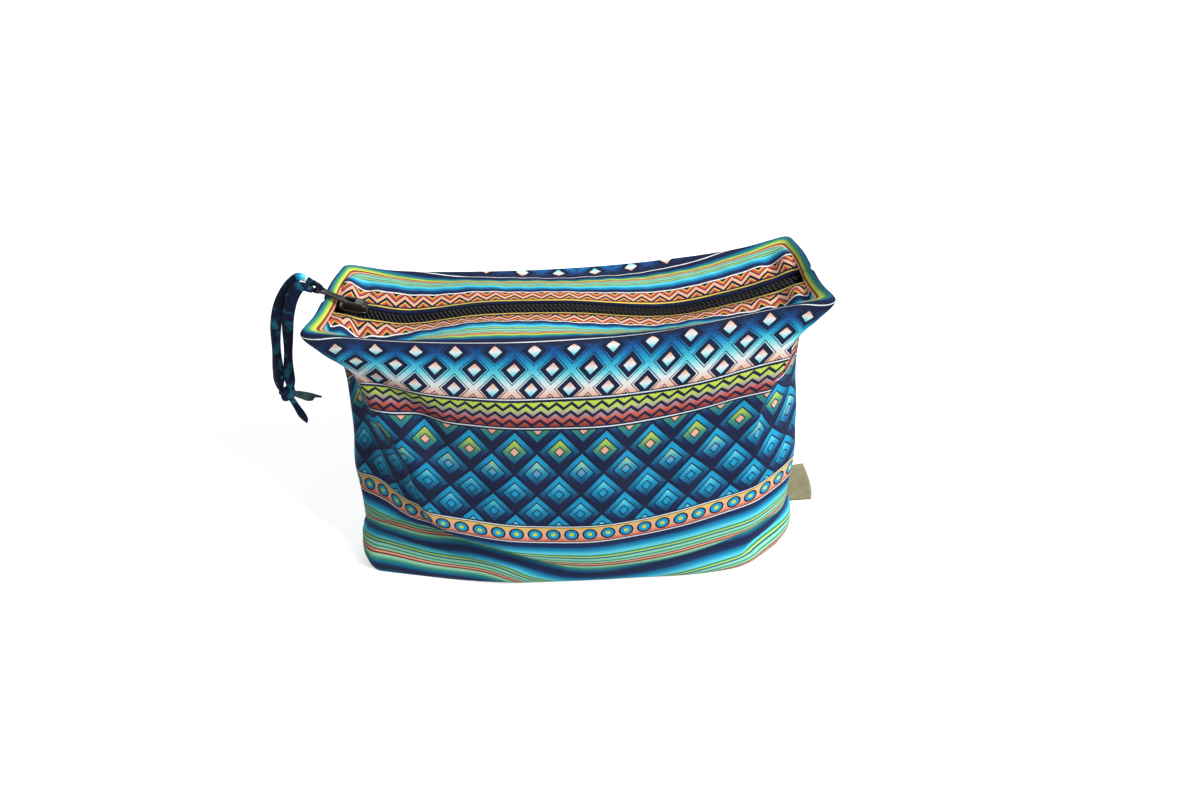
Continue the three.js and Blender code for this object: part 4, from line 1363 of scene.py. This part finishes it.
# %% One turn of the coil
COIL_PITCH = 2.0
COIL_SLANT = math.radians(28)
TURN_SIDES = 8
TURN_TALL = 1.15  # height of a turn by its width
# Distance from the tape's edge and half width of a turn.
TURN_RINGS = [(-0.25, 0.35), (0.25, 0.62), (1.6, 0.72), (2.7, 0.7), (3.35, 0.58), (3.75, 0.3)]


def coil_turn(name, hand):
    """A rounded slanted bar from the tape edge to the middle of the zip."""
    points, bar_faces = [], []
    for reach, radius in TURN_RINGS:
        for k in range(TURN_SIDES):
            angle = 2 * math.pi * k / TURN_SIDES
            points.append((radius * math.cos(angle), reach, TURN_TALL * radius * math.sin(angle)))
    for i in range(len(TURN_RINGS) - 1):
        for k in range(TURN_SIDES):
            a, b = i * TURN_SIDES + k, i * TURN_SIDES + (k + 1) % TURN_SIDES
            bar_faces.append((a, a + TURN_SIDES, b + TURN_SIDES, b))
    last_ring = range(len(points) - TURN_SIDES, len(points))
    bar_faces += [tuple(range(TURN_SIDES)), tuple(reversed(last_ring))]
    mesh = bpy.data.meshes.new(name)
    lean = Matrix.Rotation(COIL_SLANT, 4, "Z") @ Matrix.Rotation(0 if hand < 0 else math.pi, 4, "Z")
    place = Matrix.Scale(MM, 4) @ Matrix.Translation((0, hand * TAPE_EDGE, 0)) @ lean
    mesh.from_pydata([(place @ Vector(point))[:] for point in points], [], bar_faces)
    mesh.materials.append(COIL_PLASTIC)
    mesh.shade_smooth()
    turn = bpy.data.objects.new(name, mesh)
    bpy.context.collection.objects.link(turn)
    return turn


def coil_tree():
    """Geometry nodes that repeat a turn along a curve."""
    tree = bpy.data.node_groups.new("coil_along_curve", "GeometryNodeTree")
    face = tree.interface
    face.new_socket(name="Curve", in_out="INPUT", socket_type="NodeSocketGeometry")
    sockets = {
        "Turn": face.new_socket(name="Turn", in_out="INPUT", socket_type="NodeSocketObject"),
        "Pitch": face.new_socket(name="Pitch", in_out="INPUT", socket_type="NodeSocketFloat"),
        "Finish": face.new_socket(name="Finish", in_out="INPUT", socket_type="NodeSocketMaterial"),
    }
    face.new_socket(name="Coil", in_out="OUTPUT", socket_type="NodeSocketGeometry")
    add, link = tree.nodes.new, tree.links.new
    start, end = add("NodeGroupInput"), add("NodeGroupOutput")
    spaced = add("GeometryNodeResampleCurve")
    spaced.mode = "LENGTH"
    tangent, aligned = add("GeometryNodeInputTangent"), add("FunctionNodeAlignRotationToVector")
    aligned.axis = "X"
    turn, copies = add("GeometryNodeObjectInfo"), add("GeometryNodeInstanceOnPoints")
    real, dressed = add("GeometryNodeRealizeInstances"), add("GeometryNodeSetMaterial")
    link(start.outputs["Curve"], spaced.inputs["Curve"])
    link(start.outputs["Pitch"], spaced.inputs["Length"])
    link(start.outputs["Turn"], turn.inputs["Object"])
    link(tangent.outputs[0], aligned.inputs["Vector"])
    link(spaced.outputs["Curve"], copies.inputs["Points"])
    link(turn.outputs["Geometry"], copies.inputs["Instance"])
    link(aligned.outputs[0], copies.inputs["Rotation"])
    link(copies.outputs[0], real.inputs[0])
    link(real.outputs[0], dressed.inputs["Geometry"])
    link(start.outputs["Finish"], dressed.inputs["Material"])
    link(dressed.outputs[0], end.inputs["Coil"])
    return tree, sockets


COIL_TREE, COIL_SOCKETS = coil_tree()
print("coil tree has", len(COIL_TREE.nodes), "nodes")

# %% [markdown]
# The tree runs once for each coil, on the middle line of the zip. The back coil starts half
# a pitch later, so its turns lie between those of the front coil, as on a closed zip.

# %% Coils along the zip
CHAIN_LEFT = -94.0
CHAIN_RIGHT = 102.0
CHAIN_DROP = 0.95  # how deep the coils lie under the line of the zip


def chain_curve(name, start):
    """The zip's middle line as a curve, from a start to the right end."""
    x = np.arange(start, CHAIN_RIGHT, 1.0)
    line = to_frame(np.column_stack([x, np.zeros_like(x), zip_height(x) - CHAIN_DROP]))
    data = bpy.data.curves.new(name, "CURVE")
    data.dimensions = "3D"
    spline = data.splines.new("POLY")
    spline.points.add(len(line) - 1)
    spline.points.foreach_set("co", np.column_stack([line, np.ones(len(line))]).ravel())
    curve = bpy.data.objects.new(name, data)
    bpy.context.collection.objects.link(curve)
    return curve


for panel, start in ((FRONT, CHAIN_LEFT), (BACK, CHAIN_LEFT + COIL_PITCH / 2)):
    turn = coil_turn("one_turn", panel["sign"])
    coil = chain_curve(f"coil_{panel['name']}", start)
    modifier = coil.modifiers.new("coil", "NODES")
    modifier.node_group = COIL_TREE
    modifier[COIL_SOCKETS["Turn"].identifier] = turn
    modifier[COIL_SOCKETS["Pitch"].identifier] = COIL_PITCH * MM
    modifier[COIL_SOCKETS["Finish"].identifier] = COIL_PLASTIC
    coil = settle(coil)
    bpy.data.objects.remove(turn)
    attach(coil, "root")
    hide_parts(f"zip_teeth_{panel['name']}")
    print(coil.name, len(coil.data.polygons), "faces, materials", list(coil.data.materials))

# %% [markdown]
# Slider and puller are cast metal with black lacquer. Each is a few flat plates with
# rounded edges. A flat Blender curve can be filled, given a thickness and rounded along
# its outline, which makes such plates without any modelling by hand.

# %% Plates with rounded edges
CORNER_STEPS = 5


def arc_between(start, peak, end, steps):
    """Points of a round corner."""
    start, peak, end = (np.asarray(p, dtype=float) for p in (start, peak, end))
    places = np.linspace(0, 1, steps)
    return [(1 - t) ** 2 * start + 2 * t * (1 - t) * peak + t * t * end for t in places]


def rounded_outline(points, radius):
    """A closed outline whose corners are replaced by small arcs."""
    points = [np.asarray(p, dtype=float) for p in points]
    rounded = []
    for i, peak in enumerate(points):
        before, after = points[i - 1], points[(i + 1) % len(points)]
        start = peak + (before - peak) * min(0.5, radius / np.linalg.norm(before - peak))
        end = peak + (after - peak) * min(0.5, radius / np.linalg.norm(after - peak))
        rounded += arc_between(start, peak, end, CORNER_STEPS)
    return rounded


def plate_mesh(outlines, thickness, edge):
    """A flat plate with holes and rounded edges, around z = 0, in millimetres."""
    data = bpy.data.curves.new("plate", "CURVE")
    data.dimensions = "2D"
    data.fill_mode = "BOTH"
    data.extrude = thickness / 2 - edge
    data.bevel_depth = edge
    data.bevel_resolution = 3
    data.offset = -edge
    for outline in outlines:
        spline = data.splines.new("POLY")
        spline.points.add(len(outline) - 1)
        for point, place in zip(spline.points, outline):
            point.co = (place[0], place[1], 0, 1)
        spline.use_cyclic_u = True
    plate = bpy.data.objects.new("plate", data)
    bpy.context.collection.objects.link(plate)
    mesh = bpy.data.meshes.new_from_object(plate.evaluated_get(bpy.context.evaluated_depsgraph_get()))
    bpy.data.objects.remove(plate)
    return mesh


def joined_piece(name, placed_meshes, place):
    """One object from several meshes in millimetres, each with its own matrix."""
    points, faces = [], []
    for mesh, matrix in placed_meshes:
        first = len(points)
        points += [(place @ matrix @ vertex.co)[:] for vertex in mesh.vertices]
        faces += [[first + k for k in polygon.vertices] for polygon in mesh.polygons]
    return new_piece(name, points, faces)


def mirrored(stations):
    """An outline from half widths along x, mirrored in y."""
    return [(x, -half) for x, half in stations] + [(x, half) for x, half in reversed(stations)]


print("plate helpers are ready")

# %% [markdown]
# The slider's body is two shield-shaped plates, joined by a post at the nose, with the
# coils running between them. On the upper plate stands a rounded hood, open at the nose
# end like a fork, that holds the puller's pin. Two cheeks and a crown make that hood.

# %% Slider
SLIDER_LONG = 12.6
SLIDER_WIDE = 8.2
PLATE_DROP = 3.1
HOOD_WIDE = 5.6
HOOD_HIGH = 3.2
HOOD_WALL = 1.4
HOOD_SUNK = 1.0  # how deep the hood is let into the upper plate
HOOD_STEPS = 8
TAIL_ALONG = 3.6  # how far the rounding of the hood's tail end reaches along it
TAIL_BELOW = 2.8  # and how far below its top
CROWN_FIT = 0.975  # the crown lies just inside the outer faces of the cheeks
PIN = 1.0

nose, tail, wide = -SLIDER_LONG / 2, SLIDER_LONG / 2, SLIDER_WIDE / 2
shield = [(nose, 0.5 * wide), (nose + 2, wide), (1, wide), (tail, 0.8 * wide)]
upper = plate_mesh([rounded_outline(mirrored(shield), radius=1.8)], thickness=PLATE, edge=0.35)
lower_shield = [(x, 0.86 * half) for x, half in shield]
lower = plate_mesh([rounded_outline(mirrored(lower_shield), radius=1.6)], thickness=PLATE, edge=0.3)
post_sides = mirrored([(nose + 0.4, 1.1), (nose + 2.8, 1.1)])
post = plate_mesh([rounded_outline(post_sides, radius=0.8)],
                  thickness=PLATE_RISE + PLATE_DROP + PLATE, edge=0.2)
hood_start, hood_end = nose + 1.4, tail - 0.4
notch_end = PIN_X + PIN / 2 + 1


def hood_profile(start, round_start):
    """Side view of the hood, from a start to its rounded tail end."""
    front_low, front_peak = (start, HOOD_HIGH - round_start), (start, HOOD_HIGH)
    front_arc = arc_between(front_low, front_peak, (start + round_start, HOOD_HIGH), HOOD_STEPS)
    tail_start, tail_peak = (hood_end - TAIL_ALONG, HOOD_HIGH), (hood_end, HOOD_HIGH)
    tail_arc = arc_between(tail_start, tail_peak, (hood_end, HOOD_HIGH - TAIL_BELOW), HOOD_STEPS)
    return [(start, -HOOD_SUNK)] + front_arc + tail_arc + [(hood_end, -HOOD_SUNK)]


stand_up = Matrix.Rotation(math.pi / 2, 4, "X")
on_plate = Matrix.Translation((0, 0, PLATE_RISE + PLATE)) @ stand_up
cheek = plate_mesh([hood_profile(hood_start, round_start=1.8)], thickness=HOOD_WALL, edge=0.6)
crown = plate_mesh([hood_profile(notch_end, round_start=1.2)], thickness=HOOD_WIDE, edge=0.95)
cheek_out = (HOOD_WIDE - HOOD_WALL) / 2
slider = joined_piece("slider", [
    (upper, Matrix.Translation((0, 0, PLATE_RISE + PLATE / 2))),
    (lower, Matrix.Translation((0, 0, -PLATE_DROP - PLATE / 2))),
    (post, Matrix.Translation((0, 0, (PLATE_RISE - PLATE_DROP) / 2))),
    (cheek, Matrix.Translation((0, cheek_out, 0)) @ on_plate),
    (cheek, Matrix.Translation((0, -cheek_out, 0)) @ on_plate),
    (crown, on_plate @ Matrix.Scale(CROWN_FIT, 4)),
], slider_place)
print("slider:", len(slider.data.polygons), "faces")

# %% [markdown]
# The puller is a slim bar with a shallow channel on both faces, a pin at the slider's end
# and an eye for the strap at the other. A plate with two holes makes the rim and the eye,
# and a thinner plate inside it makes the bed of the channel.

# %% Puller
PULLER_WIDE = 3.2
PULLER_CHANNEL = 0.3
EYE_RADIUS = 1.3

neck = HOOD_WIDE / 2 - HOOD_WALL - 0.3
half = PULLER_WIDE / 2
head = EYE_RADIUS + 0.9
bar_start, bar_end = 4.6, EYE_AT - 2.4
shape = [(-PIN / 2 - 0.3, neck), (bar_start - 0.9, neck), (bar_start, half), (bar_end, half),
         (EYE_AT - 1, head), (EYE_AT + 1.2, head), (PULLER_LONG, 0.5 * head)]
channel = [(bar_start + 0.4, -half / 2), (bar_start + 0.4, half / 2),
           (bar_end - 0.4, half / 2), (bar_end - 0.4, -half / 2)]
eye = [(EYE_AT + EYE_RADIUS * math.cos(a), -EYE_RADIUS * math.sin(a))
       for a in np.linspace(0, 2 * math.pi, 24, endpoint=False)]
pin_round = [(0.5 * PIN * math.cos(a), 0.5 * PIN * math.sin(a))
             for a in np.linspace(0, 2 * math.pi, 16, endpoint=False)]
rim_outlines = [rounded_outline(mirrored(shape), radius=0.9), rounded_outline(channel, radius=0.6), eye]
rim = plate_mesh(rim_outlines, thickness=PULLER_THICK, edge=0.35)
bed = plate_mesh([mirrored([(bar_start, half - 0.4), (bar_end, half - 0.4)])],
                 thickness=PULLER_THICK - 2 * PULLER_CHANNEL, edge=0.1)
pin = plate_mesh([pin_round], thickness=HOOD_WIDE - 1.2, edge=0.1)
puller = joined_piece("puller", [
    (rim, Matrix.Identity(4)), (bed, Matrix.Identity(4)), (pin, stand_up)], puller_place)
print("puller:", len(puller.data.polygons), "faces")

# %% [markdown]
# Black lacquer on cast metal is glossy with a slight orange-peel surface, and it is
# rubbed to a brownish grey where fingers and the strap touch it.

# %% Lacquer of slider and puller
def black_lacquer():
    material, shader, shade = new_finish("slider_metal", Coat_Roughness=0.15, Specular_IOR_Level=0.4)
    place = object_place(shade)
    rub = noise(shade, place, 260.0, 4.0, 0.6)
    peel = noise(shade, place, 1500.0, 2.0)
    colour = ramp(rub, [(0.42, dye("070708")), (0.75, dye("221e19"))])
    plug(shader, shade, Base_Color=colour, Metallic=rub * 0.2, Roughness=0.22 + rub * 0.22,
         Coat_Weight=0.3 - rub * 0.2, Normal=bump(shade, peel, 0.00004))
    return material


BLACK_LACQUER = black_lacquer()
for piece, node in ((slider, "zip_slider"), (puller, "zip_puller")):
    piece.data.materials.append(BLACK_LACQUER)
    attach(piece, "root")
    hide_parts(node)
print("slider and puller are lacquered")

# %% [markdown]
# A folded tag of khaki satin ribbon is caught in the right side seam near the base. It is
# two layers with a soft fold at the outer edge, so it is built as one loop of ribbon that
# goes out, turns and comes back.

# %% Label in the side seam
LABEL_DOWNS = np.linspace(131, 156, 14)
LABEL_THICK = 1.0
RIBBON = 0.3  # thickness of one layer
TOP_OUT, TOP_RISE = 7.5, 1.5  # upper outer corner, from the seam
LOW_OUT, LOW_RISE = 11.0, 0.5  # lower outer corner
BULGE_RISE = 12.0  # height above the lower end where the outer edge is drawn out
LABEL_TUCK = 1.5  # how far the label reaches in behind the seam
LABEL_CURL = 1.1  # how far the outer edge curls to the front
CURL_SPAN = 0.9  # the curl runs over this share of half a wave, from the top down
FOLD_FROM = 0.97  # place on the way out where the two layers start to close
FOLD_CLOSE = 0.9  # how open they are there
# Places on the way out, from the seam at 0 to the fold at 1.
LABEL_PLACES = np.concatenate([np.linspace(0, 0.95, 14), [0.975, 0.993, 1.0]])


def folded_label():
    guides, rounding = section_guides(FRONT, LABEL_DOWNS)
    seam = section_point(guides, rounding, 8.0)
    steps = np.linspace(0, 1, len(seam))
    low = np.array([seam[-1, 0] + LOW_OUT, seam[-1, 2] + LOW_RISE])
    high = np.array([seam[0, 0] + TOP_OUT, seam[0, 2] + TOP_RISE])
    bulge = np.array([low[0], seam[-1, 2] + BULGE_RISE])
    outer = ((1 - steps) ** 2)[:, None] * high + (2 * steps * (1 - steps))[:, None] * bulge
    outer = outer + (steps ** 2)[:, None] * low
    inner = seam[:, [0, 2]] - np.array([LABEL_TUCK, 0.0])
    half = (LABEL_THICK - RIBBON) / 2
    way_out = [(r, -half) for r in LABEL_PLACES[:-1]]
    way_back = [(r, half) for r in LABEL_PLACES[-2::-1]]
    rows = []
    for r, depth in way_out + [(1.0, 0.0)] + way_back:
        flat = inner + (outer - inner) * r
        closing = FOLD_CLOSE * (1 - r) / (1 - FOLD_FROM) if r > FOLD_FROM else 1.0
        curl = LABEL_CURL * r * r * np.sin(math.pi * steps * CURL_SPAN)
        rows.append(np.column_stack([flat[:, 0], depth * closing - curl, flat[:, 1]]))
    grid = np.array(rows)
    cloth = np.stack([lengths_from(grid, 0, 0), lengths_from(grid, 0, 1)], axis=2)
    faces, corner_map = grid_faces(numbered(grid), cloth)
    label = new_piece("label", grid.reshape(-1, 3), faces, corner_map)
    return thickened(label, RIBBON, 0.0)


def label_satin():
    material, shader, shade = new_finish("label_cloth", Sheen_Weight=0.15, Specular_IOR_Level=0.45)
    along, across, mapped = own_map(shade)
    weft = wave(across, 0.55)
    warp = wave(along, 0.8)
    slub = noise(shade, mapped, 260.0, 3.0)
    colour = ramp(slub * 0.7 + weft * 0.08, [(0.15, dye("8f8460")), (0.6, dye("a99e78"))])
    plug(shader, shade, Base_Color=colour, Roughness=0.5 + slub * 0.2,
         Normal=bump(shade, weft * 0.6 + warp * 0.3 + slub, 0.00006))
    return material


label = folded_label()
label.data.materials.append(label_satin())
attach(label, "root")
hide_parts("side_label")
print("label:", len(label.data.polygons), "faces")
